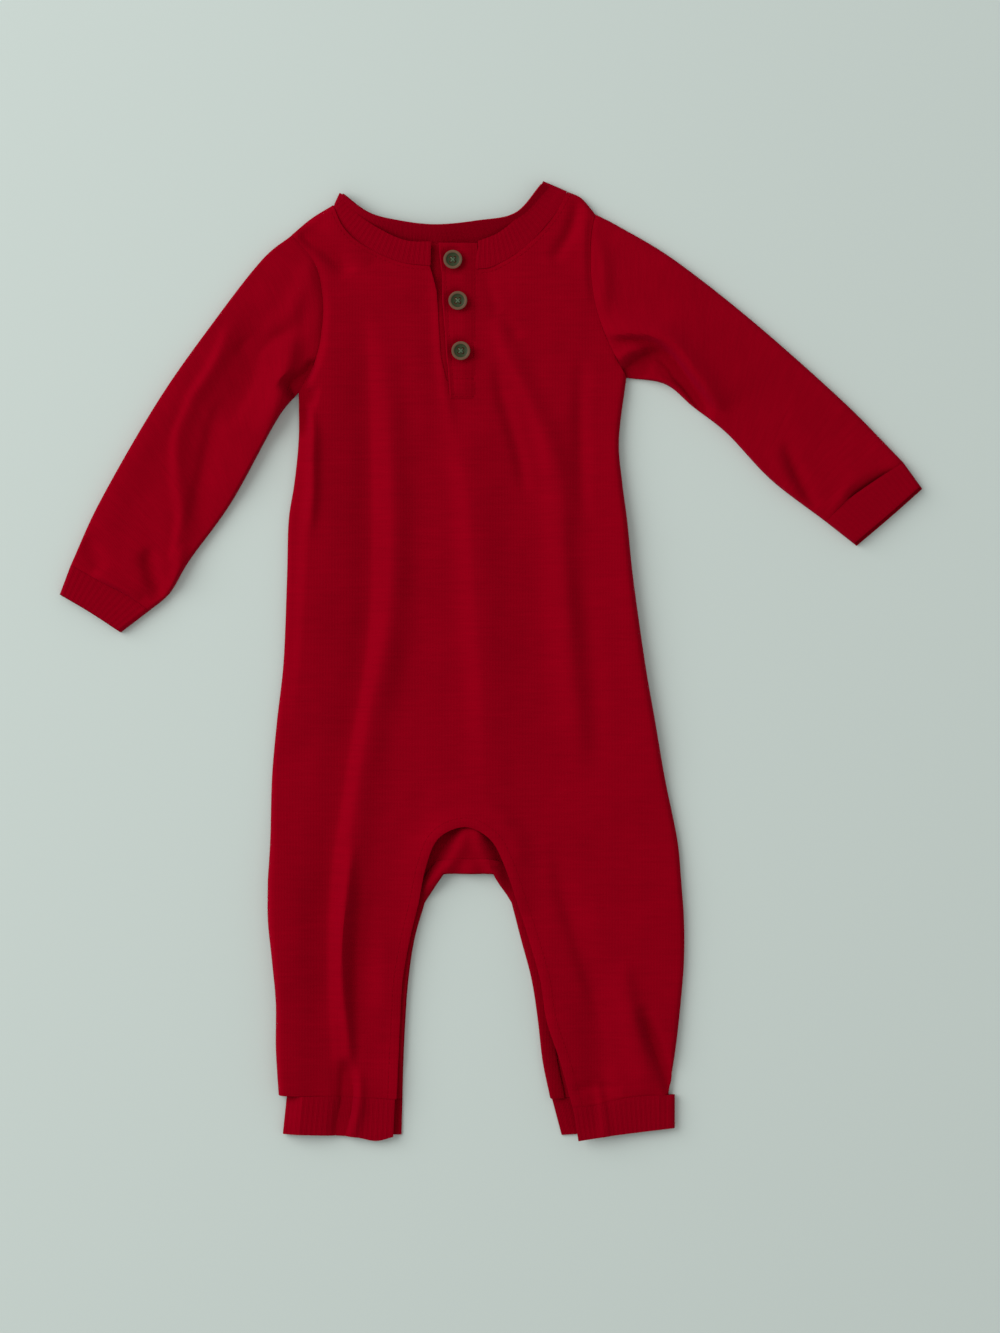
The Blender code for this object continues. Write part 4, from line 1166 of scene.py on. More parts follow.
class ROMPER_OT_front(bpy.types.Operator):
    """Make the front: one panel from the neck to both leg hems, slit for the placket"""

    bl_idname = "romper.front"
    bl_label = "Front"

    def execute(self, context):
        sizes = context.scene.romper_sizes
        plan = inset(body_plan(front_cut()), GAP / 2)
        height = front_top(plan, sizes.crease_depth) + front_finish(plan)
        front = cloth_grid("front_body_cloth", np.dstack([plan, height]), plan)
        thicken(front, sizes.cloth / MM, rim=0.2)
        finish_piece(front, "front_body", jersey(context))
        return {"FINISHED"}


class ROMPER_OT_back(bpy.types.Operator):
    """Make the back panel, flat on the floor, with a soft fold that rises at the crotch"""

    bl_idname = "romper.back"
    bl_label = "Back"

    def execute(self, context):
        plan = inset(body_plan(back_cut()), GAP / 2)[::2, ::2]
        height = WALL + crease_height(plan, BACK_FOLDS)
        back = cloth_grid("back_body_cloth", np.dstack([plan, height]), plan)
        thicken(back, WALL)
        finish_piece(back, "back_body", jersey(context))
        return {"FINISHED"}


def tape_swell(plan, share):
    """How the inseam band bulges: on the left shin at its edge, and down the right leg all over."""
    x, y = plan[..., 0], plan[..., 1]
    on_left_leg = ramp(x, 8, 20)
    on_left_shin = on_left_leg * ramp(y, -195, -220)
    on_right_leg = ramp(x, -32, -42) * ramp(y, -140, -165) * ramp(y, -252, -237)
    swell = TAPE_BELLY * np.sin(pi * share) - on_left_leg * LEFT_TAPE_SINK * share
    return swell + LEFT_TAPE_SWELL * (1 - share) * on_left_shin + RIGHT_TAPE_SWELL * on_right_leg


class ROMPER_OT_inseam(bpy.types.Operator):
    """Make the band on the back's inseam: up one leg, across the crotch and down the other"""

    bl_idname = "romper.inseam"
    bl_label = "Inseam band"

    def execute(self, context):
        sizes = context.scene.romper_sizes
        up = [(row.right_back, row.y) for row in reversed(INSEAMS)]
        down = [(row.left_back, row.y) for row in INSEAMS]
        edge = joined(
            smooth(up, INSEAM_SPACES),
            *(straight(BACK_CROTCH[k : k + 2], spaces) for k, spaces in enumerate(CROTCH_SPACES)),
            smooth(down, INSEAM_SPACES),
        )
        inward = square_to(edge)
        inward[[0, -1]] = ((-1, 0), (1, 0))
        reach = np.linspace(TAPE_INSET, CROTCH_BAND, TAPE_ROWS)[:, None, None]
        plan = edge[None] + inward[None] * reach
        share = np.linspace(0, 1, TAPE_ROWS)[:, None]
        height = TAPE_LIFT + tape_swell(plan, share) + np.maximum(crease_height(plan, BACK_FOLDS), 0)
        band = cloth_grid("inseam_band", np.dstack([plan, height]), plan)
        thicken(band, sizes.cloth / MM * TAPE_CLOTH)
        finish_piece(band, "inseam_tape", jersey(context))
        return {"FINISHED"}


# ---------------------------------------------------------------- sleeves and cuffs


def tube_places(width, top_spaces, floor_spaces):
    """Places round a flattened tube: distance across, share of its full rise, and above or below."""
    angles = np.linspace(0, pi / 2, TUBE_TURN_STEPS + 1)
    near = TUBE_ROUND * (1 - np.cos(angles))
    share = np.sin(angles)
    even = np.linspace(0, 1, top_spaces + 1)[1:-1]
    over = TUBE_ROUND + (width - 2 * TUBE_ROUND) * (even - TUBE_CROWDING * np.sin(tau * even) / tau)
    under = np.linspace(width - TUBE_ROUND, TUBE_ROUND, floor_spaces + 1)[1:-1]
    places = np.concatenate((near, over, (width - near)[::-1], (width - near)[1:], under, near[:0:-1]))
    shares = np.concatenate((share, 1 + 0 * over, share[::-1], share[1:], 1 + 0 * under, share[:0:-1]))
    top = np.arange(len(places)) < 2 * len(near) + len(over) - 1
    return places, shares, top


def tube_points(row, lift, top_spaces, floor_spaces, floor=None):
    """One ring of a flattened tube round a row of plan points, closed by its first point again."""
    reach = along_row(row)
    width = reach[-1]
    places, shares, top = tube_places(width, top_spaces, floor_spaces)
    plan = np.stack([np.interp(places, reach, column) for column in row.T], axis=-1)
    high = lift(plan, places, width)
    low = floor(plan, places, width) if floor else 0 * high
    height = TUBE_EDGE_HEIGHT + shares * (np.where(top, high, low) - TUBE_EDGE_HEIGHT)
    ring = np.column_stack([plan, height])
    round_it = along_row(ring)
    closing = round_it[-1] + np.linalg.norm(ring[-1] - ring[0])
    return np.vstack([ring, ring[:1]]), np.append(round_it, closing)


def sleeve_plan(sleeve):
    """A sleeve seen from above: rows of points across it, from the armhole to the cuff's seam."""
    folds = (smooth(sleeve.upper, SLEEVE_ROWS), smooth(sleeve.under, SLEEVE_ROWS))
    ends = (smooth(sleeve.armhole, SLEEVE_COLUMNS), smooth(sleeve.seam, SLEEVE_COLUMNS))
    plan = fill(*folds, *ends, SLEEVE_FADE).swapaxes(0, 1)
    plan[0] = shift(plan[0], plan[1], GAP / 2)
    plan[-1] = shift(plan[-1], plan[-2], GAP / 2)
    return plan


def sleeve_lift(sleeve, depth):
    """Makes the function that gives the height of a sleeve's upper side."""
    armhole = smooth(sleeve.armhole)
    cuff_seam = smooth(sleeve.seam, 20)

    def lift(plan, places, width):
        to_armhole = distance_to(plan, armhole)
        to_cuff = distance_to(plan, cuff_seam)
        rise = 1 - np.exp(-np.minimum(places / sleeve.upper_reach, (width - places) / UNDER_EDGE_REACH))
        folds = SLEEVE_FOLD_DEPTH * crease_height(plan, SLEEVE_FOLDS) + unevenness(plan, *SLEEVE_UNEVEN)
        armhole_loss, armhole_reach = ARMHOLE_CALM
        end_loss, end_reach = SLEEVE_END_CALM
        folds *= 1 - armhole_loss * bell(to_armhole, armhole_reach) - end_loss * bell(to_cuff, end_reach)
        height = SEAM_LIFT + WALL + rise * (CROWN + depth * folds)
        height += ARMHOLE_ROLL * bell(to_armhole - ARMHOLE_ROLL_PLACE, ARMHOLE_ROLL_REACH)
        height += dipped(to_armhole, ARMHOLE_SEAM_DIP) + dipped(to_cuff, SLEEVE_END_DIP)
        height += depth * crease_height(plan, SLEEVE_DENTS)
        return np.maximum(height, LOWEST_SLEEVE)

    return lift


class ROMPER_OT_sleeves(bpy.types.Operator):
    """Make both sleeves: soft flattened tubes from the armholes to the cuff seams"""

    bl_idname = "romper.sleeves"
    bl_label = "Sleeves"

    def execute(self, context):
        sizes = context.scene.romper_sizes
        for sleeve in SLEEVES:
            lift = sleeve_lift(sleeve, sizes.crease_depth)
            plan = sleeve_plan(sleeve)
            rings, around = zip(*(tube_points(row, lift, *SLEEVE_SPACES) for row in plan))
            out = along_row(plan[:, SLEEVE_COLUMNS // 2])
            tube = cloth_tube(f"sleeve_{sleeve.name}_cloth", rings, np.stack(around), out)
            thicken(tube, sizes.cloth / MM * TUBE_CLOTH)
            finish_piece(tube, f"sleeve_{sleeve.name}", jersey(context))
        return {"FINISHED"}


def ribs(places, count, width):
    """Rounded ribs: 0 in a furrow and 1 on a rib."""
    return (0.5 - 0.5 * np.cos(tau * count * places / width)) ** RIB_POWER


def ribbed_sides(count, rise):
    """Makes the functions that give the heights of a ribbed tube's upper side and underside."""

    def raised(places, width):
        return rise * ribs(places - TUBE_ROUND, count, width - 2 * TUBE_ROUND)

    def lift(plan, places, width):
        edges = 1 - np.exp(-np.minimum(places, width - places) / CUFF_EDGE_REACH)
        return SEAM_LIFT + WALL + CROWN * edges + raised(places, width)

    def floor(plan, places, width):
        return CUFF_FLOOR_RIBS * raised(places, width)

    return lift, floor


class ROMPER_OT_sleeve_cuffs(bpy.types.Operator):
    """Make the sleeves' ribbed cuffs"""

    bl_idname = "romper.sleeve_cuffs"
    bl_label = "Sleeve cuffs"

    def execute(self, context):
        sizes = context.scene.romper_sizes
        shares = np.linspace(0, 1, CUFF_RINGS)
        for sleeve in SLEEVES:
            end = smooth(sleeve.end_line, CUFF_POINTS)
            seam = shift(smooth(sleeve.seam, CUFF_POINTS), end, GAP / 2)
            count = round(np.linalg.norm(end[-1] - end[0]) / RIB_PITCH)
            spaces = RIB_SPACES * count
            inward = (seam - end)[CUFF_POINTS // 2]
            length = np.linalg.norm(inward)
            back_in = sleeve.setback * inward / length
            lift, floor = ribbed_sides(count, sizes.rib_rise / MM)
            rings, around = [], []
            for share in shares:
                ring, reach = tube_points((1 - share) * seam + share * end, lift, spaces, spaces, floor)
                upper = ring[:, 2] > TUBE_EDGE_HEIGHT
                ring[:, :2] += share**3 * upper[:, None] * back_in
                rings.append(ring)
                around.append(reach)
            tube = cloth_tube(f"sleeve_cuff_{sleeve.name}_rib", rings, np.stack(around), shares * length)
            thicken(tube, sizes.cloth / MM * TUBE_CLOTH)
            finish_piece(tube, f"sleeve_cuff_{sleeve.name}", rib_knit(context))
        return {"FINISHED"}


# ---------------------------------------------------------------- folded strips


def flat_strip(seam, edge, lift, count, rise, tilt=0.0, groove=0.25):
    """The middle surface of a ribbed strip that lies flat, from its seam to its free edge."""
    share = STRIP_SHARES[:, None, None]
    plan = (1 - share) * seam[None] + share * edge[None]
    width = np.linalg.norm(seam - edge, axis=-1)[None]
    share = share[..., 0]
    across = np.linspace(0, 1, len(seam))[None]
    from_seam, from_edge = share * width, (1 - share) * width
    fade = 1 - bell(from_seam, RIB_FADE)
    height = lift + RIB_WALL / 2 + rise * fade * ribs(across, count, 1) + tilt * share**1.5
    height = height + dipped(from_seam, Dip(groove, STRIP_SEAM_REACH)) + dipped(from_edge, STRIP_EDGE_DIP)
    return np.dstack([plan, height])


def turned_strip(seam, edge, outward, high, low, steps=10):
    """The strip's turn from a high level down to a low one, without its first and last lines."""
    radius = (high - low) / 2
    outward = np.array((*outward, 0)) / hypot(*outward)
    share = STRIP_SHARES[:, None]
    line = np.column_stack([(1 - share) * seam + share * edge, np.full(len(share), (high + low) / 2)])
    columns = []
    for angle in np.linspace(0, pi, steps + 1)[1:-1]:
        columns.append(line + radius * (outward * sin(angle) + np.array((0, 0, cos(angle)))))
    return np.stack(columns, axis=1)


def strip_piece(name, node, points, context, rim):
    """A ribbed strip from its middle surface, knitted along its length."""
    along = along_row(points[len(points) // 2, :, :2])
    weave = np.stack(np.meshgrid(along, along_row(points[:, 0, :2])), axis=-1)
    strip = cloth_grid(name, points, weave)
    thicken(strip, context.scene.romper_sizes.cloth / MM, offset=0.0, rim=rim)
    return finish_piece(strip, node, rib_knit(context))


class ROMPER_OT_leg_cuffs(bpy.types.Operator):
    """Make the legs' ribbed cuffs: a front half, a fold at the outer side and a back half"""

    bl_idname = "romper.leg_cuffs"
    bl_label = "Leg cuffs"

    def execute(self, context):
        sizes = context.scene.romper_sizes
        rise = sizes.rib_rise / MM
        for cuff in LEG_CUFFS:
            count = round(hypot(*np.subtract(cuff.top[0], cuff.top[-1])) / RIB_PITCH)
            spaces = RIB_SPACES * count
            end = smooth(cuff.end, spaces)
            top = shift(smooth(cuff.top, spaces), end, -SEAM_LAP)
            calm = ramp(np.arange(spaces + 1), 0, CUFF_CALM)
            front = flat_strip(top, end, CUFF_LIFT, count, rise, groove=0.1)
            front[..., 2] += CUFF_HEM_RISE * calm * (1 - STRIP_SHARES[:, None])
            front[..., 2] += sizes.crease_depth * calm * crease_height(front[..., :2], BODY_FOLDS)
            front[..., 2] = np.maximum(front[..., 2], RIB_WALL / 2 + SEAM_LIFT)
            turn = turned_strip(top[0], end[0], cuff.outward, *FOLD_LEVELS)
            back_end = straight((cuff.end[0], cuff.back_end), spaces)
            back_top = shift(straight((cuff.top[0], cuff.back_top), spaces), back_end, -SEAM_LAP)
            back_top[0] = top[0]
            back = flat_strip(back_top, back_end, 0, count, 0.5 * rise)
            back[..., 2] = np.maximum(back[..., 2], sizes.cloth / MM / 2)
            points = np.concatenate([front[:, ::-1], turn, back], axis=1)
            node = f"leg_cuff_{cuff.name}"
            strip = strip_piece(f"{node}_rib", node, points, context, rim=0.15)
        return {"FINISHED"}


class ROMPER_OT_neckband(bpy.types.Operator):
    """Make the ribbed neckband: two front halves that fold over the shoulders to the back half"""

    bl_idname = "romper.neckband"
    bl_label = "Neckband"

    def execute(self, context):
        rise = context.scene.romper_sizes.rib_rise / MM
        right_seam = smooth(RIGHT_NECK_SEAM, NECK)[::-1]
        left_seam = smooth(LEFT_NECK_SEAM, NECK)
        back_seam = smooth(BACK_NECK_SEAM, NECK)
        right_seam[0, 0] = RIGHT_BAND_EDGE[0][0] - BAND_END_SLANT
        left_seam[0] = (LEFT_BAND_EDGE[0][0], left_seam[0][1])
        for seam, end in ((right_seam, -1), (back_seam, 0)):
            seam[end] = RIGHT_BAND_FOOT
        for seam, end in ((left_seam, -1), (back_seam, -1)):
            seam[end] = LEFT_BAND_FOOT

        def half(edge, seam, lift, base, tilt=0.0, rise=rise):
            length = (along_row(smooth(edge, 20))[-1] + along_row(seam)[-1]) / 2
            count = round(length / RIB_PITCH)
            spaces = RIB_SPACES * count
            edge = smooth(edge, spaces)
            seam = shift(straight(seam, spaces), edge, GAP)
            height = base + lift * (1 - np.linspace(0, 1, spaces + 1) ** 4)
            return flat_strip(seam, edge, height, count, rise, tilt, groove=0.05)

        right = half(RIGHT_BAND_EDGE, right_seam, BAND_LIFT, CUFF_LIFT)
        left = half(LEFT_BAND_EDGE, left_seam, BAND_LIFT, CUFF_LIFT)
        back = half(BACK_BAND_EDGE, back_seam, 0, 0, BACK_BAND_TILT, rise / 2)
        right_end, left_end = np.array(RIGHT_BAND_EDGE[-1]), np.array(LEFT_BAND_EDGE[-1])
        right_turn = turned_strip(right_seam[-1], right_end, RIGHT_FOLD_OUT, *FOLD_LEVELS)
        left_turn = turned_strip(left_seam[-1], left_end, LEFT_FOLD_OUT, *FOLD_LEVELS)
        points = np.concatenate([right, right_turn, back, left_turn[:, ::-1], left[:, ::-1]], axis=1)
        band = strip_piece("neckband_rib", "neckband", points, context, rim=0.12)
        return {"FINISHED"}


# ---------------------------------------------------------------- placket, stitching and buttons

STITCH_STEP = 1.25  # from one stitch to the next, in stitch lengths
STITCH_HALF = (0.00022, 0.00019)  # half of a stitch's width and height, in metres
STITCH_LIFT = 0.00002
STITCH_PROBE = 0.8  # how far to each side of its middle a stitch feels for the cloth
NECK_STITCH_INSET = 2.4
HEM_STITCH_INSET = 5.6
ON_THE_CHEST = np.array([(-20.0, 100.0)])  # rows of stitches are inset towards these
PAST_THE_NECK = np.array([(-13.0, 400.0)])
BUTTON_DISC = 0.0012  # thickness of the disc that a button is turned from, in metres
BUTTON_WAIST = 0.86  # share of the button's radius
RIM_STEPS = ((1.09, 0.0004), (1.03, 0.0005), (0.985, 0.0003), (0.955, 0.00008))  # growth and rise
DISH_STEPS = (  # inset and drop
    (0.0007, 0.0), (0.0005, -0.00018), (0.0004, -0.00034), (0.0005, -0.00022), (0.0009, -0.00008),
)
DISH_SHARE = 0.335  # radius of the dark dish, against the button's diameter
DISH_FLOOR = 0.0006
HOLE_RADIUS = 0.00078
HOLE_PLACE = 0.00125  # from the button's middle, along X and Y
STRAND_RADIUS = 0.0002
STRAND_LENGTH = 0.0042
STRANDS_BESIDE = (-0.00022, 0.0, 0.00022)
STRAND_TOP = 0.0019
STRAND_SAG = 0.0011  # how far a strand goes down into the holes
STRAND_DROP = 0.3  # how much lower a strand beside the middle one lies, against its distance
CROSSING_LIFT = 0.0003  # the second bundle lies over the first


class ROMPER_OT_plackets(bpy.types.Operator):
    """Make the under placket in the slit, and the upper placket that laps over it"""

    bl_idname = "romper.plackets"
    bl_label = "Plackets"

    def execute(self, context):
        sizes = context.scene.romper_sizes
        plan, height = under_placket(sizes.crease_depth)
        lower = cloth_grid("placket_under_cloth", np.dstack([plan, height]), plan)
        thicken(lower, sizes.cloth / MM * UNDER_PLACKET_CLOTH)
        finish_piece(lower, "placket_under", jersey(context))
        plan, height = upper_placket(sizes.crease_depth)
        lap = cloth_grid("placket_upper_cloth", np.dstack([plan, height]), plan)
        thicken(lap, sizes.cloth / MM)
        finish_piece(lap, "placket_upper", jersey(context))
        return {"FINISHED"}


def between(left, right, points):
    """Rows of points from one column to another."""
    share = np.linspace(0, 1, points)[None, :, None]
    return left[:, None] * (1 - share) + right[:, None] * share


def under_placket(depth):
    """The under placket's plan and height: it fills the slit and sinks towards the neck."""
    slit = straight(((SLIT_EDGE[0][0], PLACKET_TOP), *SLIT_EDGE), UNDER_PLACKET_ROWS)
    sewn = straight(((LEFT_NECK_SEAM[0][0], PLACKET_TOP), SLIT_END[1]), UNDER_PLACKET_ROWS)
    plan = inset(between(slit, sewn, UNDER_PLACKET_POINTS), GAP / 2)
    drop = np.interp(plan[..., 1], *zip(*UNDER_DROPS))
    return plan, np.maximum(front_top(plan, depth) - drop, LOWEST_UNDER_PLACKET)


def upper_placket(depth):
    """The upper placket's plan and height: it lies on the front, sewn along one side and the foot."""
    foot = FREE_EDGE[-1][1]
    sewn_x = LEFT_NECK_SEAM[0][0] + PLACKET_OVERLAP
    sewn = straight(((sewn_x, PLACKET_TOP), (sewn_x, foot)), PLACKET_ROWS)
    plan = between(smooth(FREE_EDGE, PLACKET_ROWS), sewn, UPPER_PLACKET_POINTS)
    sewn_in = ramp(plan[..., 0], SEWN_FROM, sewn_x)
    at_foot = np.exp(-(plan[..., 1] - foot) / PLACKET_FOOT_REACH)
    sunk = np.maximum(PLACKET_SEWN_SINK * sewn_in, PLACKET_FOOT_SINK * at_foot)
    return plan, front_top(plan, depth) + PLACKET_LIFT - sunk + placket_finish(plan)


def placket_finish(points):
    """The upper placket's stitched edges and the dents under its buttons."""
    height = np.zeros(points.shape[:-1])
    for line in PLACKET_STITCHES:
        height += dipped(distance_to(points, smooth(line, 24)), PLACKET_STITCH_DIP)
    for _, centre in BUTTONS:
        away = np.linalg.norm(points - centre, axis=-1)
        height -= BUTTON_SINK * bell(away, BUTTON_SINK_REACH, 4)
    return height


def stitch_rows(name, rows, over, length, material):
    """Short stitches laid along rows of plan points on the pieces below them."""
    deselect_all()
    bpy.ops.mesh.primitive_uv_sphere_add(segments=8, ring_count=6, radius=1)
    pattern = bpy.context.object
    corners = np.array([vertex.co for vertex in pattern.data.vertices])
    corners *= (length / 2, *STITCH_HALF)
    faces = [tuple(face.vertices) for face in pattern.data.polygons]
    bpy.data.objects.remove(pattern)
    vertices, cells = [], []
    for row in rows:
        reach = along_row(row)[-1]
        spaces = max(1, round(reach / (length / MM * STITCH_STEP)))
        places = straight(row, 2 * spaces)
        for start, middle, end in zip(places[::2], places[1::2], places[2::2]):
            along = Vector((*(end - start), 0)).normalized()
            offsets = (-STITCH_PROBE, 0, STITCH_PROBE)
            heights = [surface_height(over, middle + offset * np.array(along[:2])) for offset in offsets]
            if None in heights:
                continue
            span = 2 * STITCH_PROBE
            along = Vector((along.x * span, along.y * span, heights[2] - heights[0])).normalized()
            side = Vector((0, 0, 1)).cross(along).normalized()
            up = along.cross(side)
            turned = corners @ np.array([along, side, up])
            base = np.array((middle[0] * MM, middle[1] * MM, heights[1] * MM + STITCH_LIFT))
            cells += [[corner + len(vertices) for corner in face] for face in faces]
            vertices += list(turned + base)
    mesh = bpy.data.meshes.new(name)
    mesh.from_pydata([tuple(point) for point in vertices], [], cells)
    made = bpy.data.objects.new(name, mesh)
    bpy.context.scene.collection.objects.link(made)
    select_only(made)
    bpy.ops.object.shade_smooth()
    made.data.materials.append(material)
    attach(made, "root")
    return made


def surface_height(pieces, point):
    """Height of the highest of the pieces at a plan point, or None where there is none."""
    best = None
    for piece in pieces:
        hit, place, _, _ = piece.ray_cast(Vector((point[0] * MM, point[1] * MM, 0.05)), Vector((0, 0, -1)))
        if hit and (best is None or place.z / MM > best):
            best = place.z / MM
    return best


class ROMPER_OT_stitching(bpy.types.Operator):
    """Sew the topstitching on the placket, beside the neck seam and round the leg opening"""

    bl_idname = "romper.stitching"
    bl_label = "Stitching"

    def execute(self, context):
        sizes = context.scene.romper_sizes
        look = context.scene.romper_look
        thread = shared("Red sewing thread", lambda name: thread_material(name, look.rib_colour))
        front = bpy.data.objects["front_body_cloth"]
        lap = bpy.data.objects["placket_upper_cloth"]
        rows = [smooth(line, 40) for line in PLACKET_STITCHES]
        stitch_rows("placket_stitches", rows, [lap], sizes.stitch, thread)
        rows = [shift(seam, ON_THE_CHEST, NECK_STITCH_INSET) for seam in NECK_SEAMS]
        rows.append(shift(FRONT_OPENING, PAST_THE_NECK, HEM_STITCH_INSET))
        stitch_rows("front_stitches", rows, [front], sizes.stitch, thread)
        return {"FINISHED"}


class ROMPER_OT_buttons(bpy.types.Operator):
    """Turn the three dished four-hole buttons and sew them on"""

    bl_idname = "romper.buttons"
    bl_label = "Buttons"

    def execute(self, context):
        sizes = context.scene.romper_sizes
        look = context.scene.romper_look
        rim = shared("Brown horn", lambda name: horn_material(name, look.rim_colour, RIM_STREAKS))
        dish = shared("Dark green horn", lambda name: horn_material(name, look.dish_colour, DISH_STREAKS))
        thread = shared("Green button thread", lambda name: thread_material(name, look.thread_colour))
        for name, centre in BUTTONS:
            low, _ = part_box(f"button_{name}")
            button = make_button(f"button_{name}_horn", centre, low.z, sizes.button / 2)
            button.data.materials.append(rim)
            button.data.materials.append(dish)
            for face in button.data.polygons:
                away = hypot(face.center.x - centre[0] * MM, face.center.y - centre[1] * MM)
                in_dish = away < sizes.button * DISH_SHARE and face.center.z > low.z + DISH_FLOOR
                face.material_index = int(in_dish)
            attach(button, "root")
            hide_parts(f"button_{name}")
            sewn = make_thread_cross(f"button_{name}_thread", centre, low.z)
            sewn.data.materials.append(thread)
            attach(sewn, "root")
        return {"FINISHED"}


def make_button(name, centre, base, radius):
    """A round button with a rolled rim, a dished middle and four holes."""
    x, y = centre[0] * MM, centre[1] * MM
    deselect_all()
    bpy.ops.mesh.primitive_cylinder_add(
        vertices=64, radius=radius * BUTTON_WAIST, depth=BUTTON_DISC,
        location=(x, y, base + BUTTON_DISC / 2),
    )
    button = named(bpy.context.object, name)
    bpy.ops.object.transform_apply(location=True, rotation=True, scale=True)
    bpy.ops.object.mode_set(mode="EDIT")
    bpy.ops.mesh.select_mode(type="FACE")
    bpy.ops.mesh.select_all(action="DESELECT")
    bpy.ops.object.mode_set(mode="OBJECT")
    for face in button.data.polygons:
        face.select = face.normal.z > 0.5
    bpy.ops.object.mode_set(mode="EDIT")
    # the rolled rim goes out and up, then in and down to the dish
    for grow, rise in RIM_STEPS:
        bpy.ops.mesh.extrude_region_move(TRANSFORM_OT_translate={"value": (0, 0, rise)})
        bpy.ops.transform.resize(value=(grow, grow, 1), center_override=(x, y, base))
    for inset_by, drop in DISH_STEPS:
        bpy.ops.mesh.inset(thickness=inset_by, depth=drop)
    bpy.ops.object.mode_set(mode="OBJECT")
    cutters = []
    for across in (-HOLE_PLACE, HOLE_PLACE):
        for up in (-HOLE_PLACE, HOLE_PLACE):
            bpy.ops.mesh.primitive_cylinder_add(
                vertices=20, radius=HOLE_RADIUS, depth=0.012, location=(x + across, y + up, base)
            )
            cutters.append(bpy.context.object)
    holes = join(cutters)
    drill = button.modifiers.new("Four holes", "BOOLEAN")
    drill.operation = "DIFFERENCE"
    drill.object = holes
    apply_modifiers(button)
    bpy.data.objects.remove(holes)
    select_only(button)
    bpy.ops.object.shade_smooth_by_angle(angle=radians(50))
    return button


def make_thread_cross(name, centre, base):
    """Two bundles of thread that cross between the holes."""
    strands = []
    for turn, lift in ((45, 0.0), (135, CROSSING_LIFT)):
        for beside in STRANDS_BESIDE:
            deselect_all()
            bpy.ops.mesh.primitive_cylinder_add(
                vertices=10, radius=STRAND_RADIUS, depth=STRAND_LENGTH, rotation=(0, pi / 2, 0)
            )
            strand = bpy.context.object
            bpy.ops.object.transform_apply(location=True, rotation=True, scale=True)
            bpy.ops.object.mode_set(mode="EDIT")
            bpy.ops.mesh.select_all(action="SELECT")
            bpy.ops.mesh.bisect(plane_co=(0, 0, 0), plane_no=(1, 0, 0))
            bpy.ops.mesh.select_all(action="SELECT")
            bpy.ops.mesh.subdivide(number_cuts=3)
            bpy.ops.object.mode_set(mode="OBJECT")
            angle = radians(turn)
            for vertex in strand.data.vertices:
                x, y, z = vertex.co
                y += beside
                sag = STRAND_SAG * (2 * x / STRAND_LENGTH) ** 4
                z += STRAND_TOP + lift - sag - STRAND_DROP * abs(beside)
                vertex.co = (
                    centre[0] * MM + x * cos(angle) - y * sin(angle),
                    centre[1] * MM + x * sin(angle) + y * cos(angle),
                    base + z,
                )
            strands.append(strand)
    sewn = named(join(strands), name)
    bpy.ops.object.shade_smooth()
    return sewn


# ---------------------------------------------------------------- stage

FLOOR_SIZE = 8
FLOOR_LEVEL = -0.0002
WINDOW_PLACE = (-2.5, 1.15, 1.9)
WINDOW_SIZE = 3.2
CAMERA_PLACE = (0.0057, -0.0033)
SENSOR = 36  # millimetres
IN_VIEW = 0.8  # metres of floor along the picture's longer side


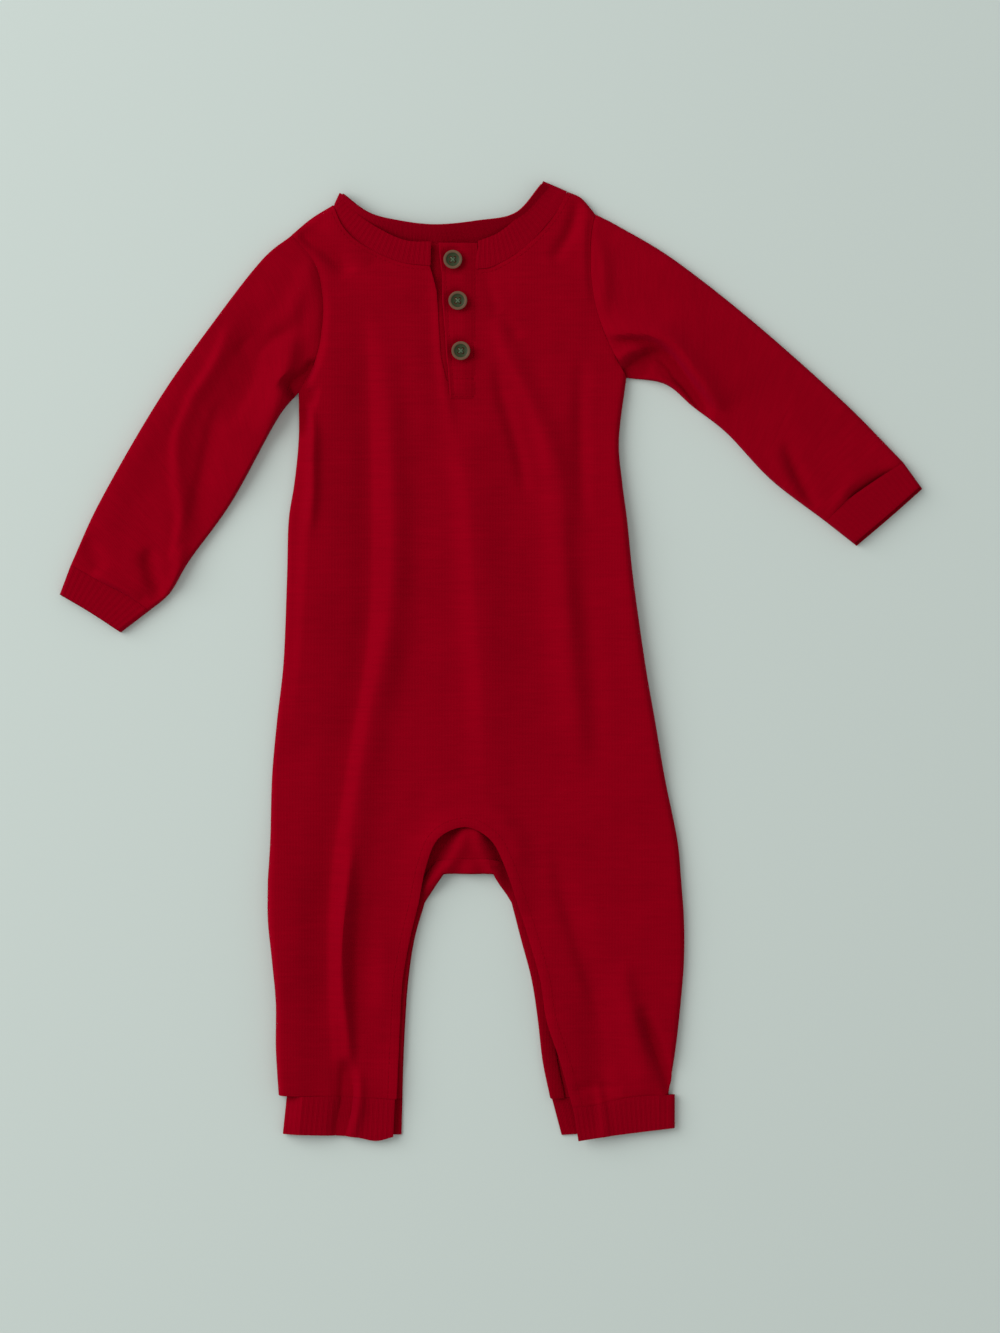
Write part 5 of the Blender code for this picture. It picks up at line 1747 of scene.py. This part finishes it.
class ROMPER_OT_stage(bpy.types.Operator):
    """Lay the floor, hang the lights and set the camera straight above"""

    bl_idname = "romper.stage"
    bl_label = "Stage"

    def execute(self, context):
        scene = context.scene
        stage = scene.romper_stage
        look = scene.romper_look
        deselect_all()
        bpy.ops.mesh.primitive_plane_add(size=FLOOR_SIZE, location=(0, 0, FLOOR_LEVEL))
        floor = named(bpy.context.object, "floor")
        floor.data.materials.append(plain_material("Pale floor", look.floor_colour, 0.95))
        bpy.ops.object.light_add(type="AREA", location=WINDOW_PLACE)
        window = bpy.context.object
        window.name = "window_light"
        window.data.shape = "DISK"
        window.data.size = WINDOW_SIZE
        window.data.energy = stage.window_power
        window.data.color = (1.0, 1.0, 1.0)
        window.rotation_mode = "QUATERNION"
        window.rotation_quaternion = (-Vector(WINDOW_PLACE)).to_track_quat("-Z", "Y")
        world = bpy.data.worlds.new("Soft room light")
        world.use_nodes = True
        sky = {"Color": (1.0, 1.0, 1.0, 1), "Strength": stage.room_light}
        set_inputs(world.node_tree.nodes["Background"], sky)
        scene.world = world
        bpy.ops.object.camera_add(location=(*CAMERA_PLACE, stage.camera_height), rotation=(0, 0, 0))
        camera = bpy.context.object
        camera.name = "camera_above"
        camera.data.sensor_width = SENSOR
        camera.data.lens = SENSOR * stage.camera_height / IN_VIEW
        camera.data.clip_end = 20
        scene.camera = camera
        scene.view_settings.view_transform = "Standard"
        return {"FINISHED"}


class ROMPER_PT_panel(bpy.types.Panel):
    """The romper's pieces"""

    bl_label = "Romper"
    bl_idname = "ROMPER_PT_panel"
    bl_space_type = "VIEW_3D"
    bl_region_type = "UI"
    bl_category = "Romper"

    def draw(self, context):
        for settings in ("romper_sizes", "romper_look", "romper_stage"):
            group = getattr(context.scene, settings)
            box = self.layout.box()
            for name in group.__annotations__:
                box.prop(group, name)
        column = self.layout.column()
        for operator in OPERATORS:
            column.operator(operator.bl_idname)


OPERATORS = (
    ROMPER_OT_back,
    ROMPER_OT_inseam,
    ROMPER_OT_front,
    ROMPER_OT_sleeves,
    ROMPER_OT_sleeve_cuffs,
    ROMPER_OT_leg_cuffs,
    ROMPER_OT_neckband,
    ROMPER_OT_plackets,
    ROMPER_OT_stitching,
    ROMPER_OT_buttons,
    ROMPER_OT_stage,
)
CLASSES = (RomperSizes, RomperLook, RomperStage, *OPERATORS, ROMPER_PT_panel)


def register():
    for made in CLASSES:
        bpy.utils.register_class(made)
    bpy.types.Scene.romper_sizes = bpy.props.PointerProperty(type=RomperSizes)
    bpy.types.Scene.romper_look = bpy.props.PointerProperty(type=RomperLook)
    bpy.types.Scene.romper_stage = bpy.props.PointerProperty(type=RomperStage)


def unregister():
    del bpy.types.Scene.romper_stage
    del bpy.types.Scene.romper_look
    del bpy.types.Scene.romper_sizes
    for made in reversed(CLASSES):
        bpy.utils.unregister_class(made)


def main():
    register()
    bpy.ops.romper.back()
    bpy.ops.romper.inseam()
    bpy.ops.romper.front()
    bpy.ops.romper.sleeves()
    bpy.ops.romper.sleeve_cuffs()
    bpy.ops.romper.leg_cuffs()
    bpy.ops.romper.neckband()
    bpy.ops.romper.plackets()
    bpy.ops.romper.stitching()
    bpy.ops.romper.buttons()
    bpy.ops.romper.stage()


if __name__ == "__main__":
    main()
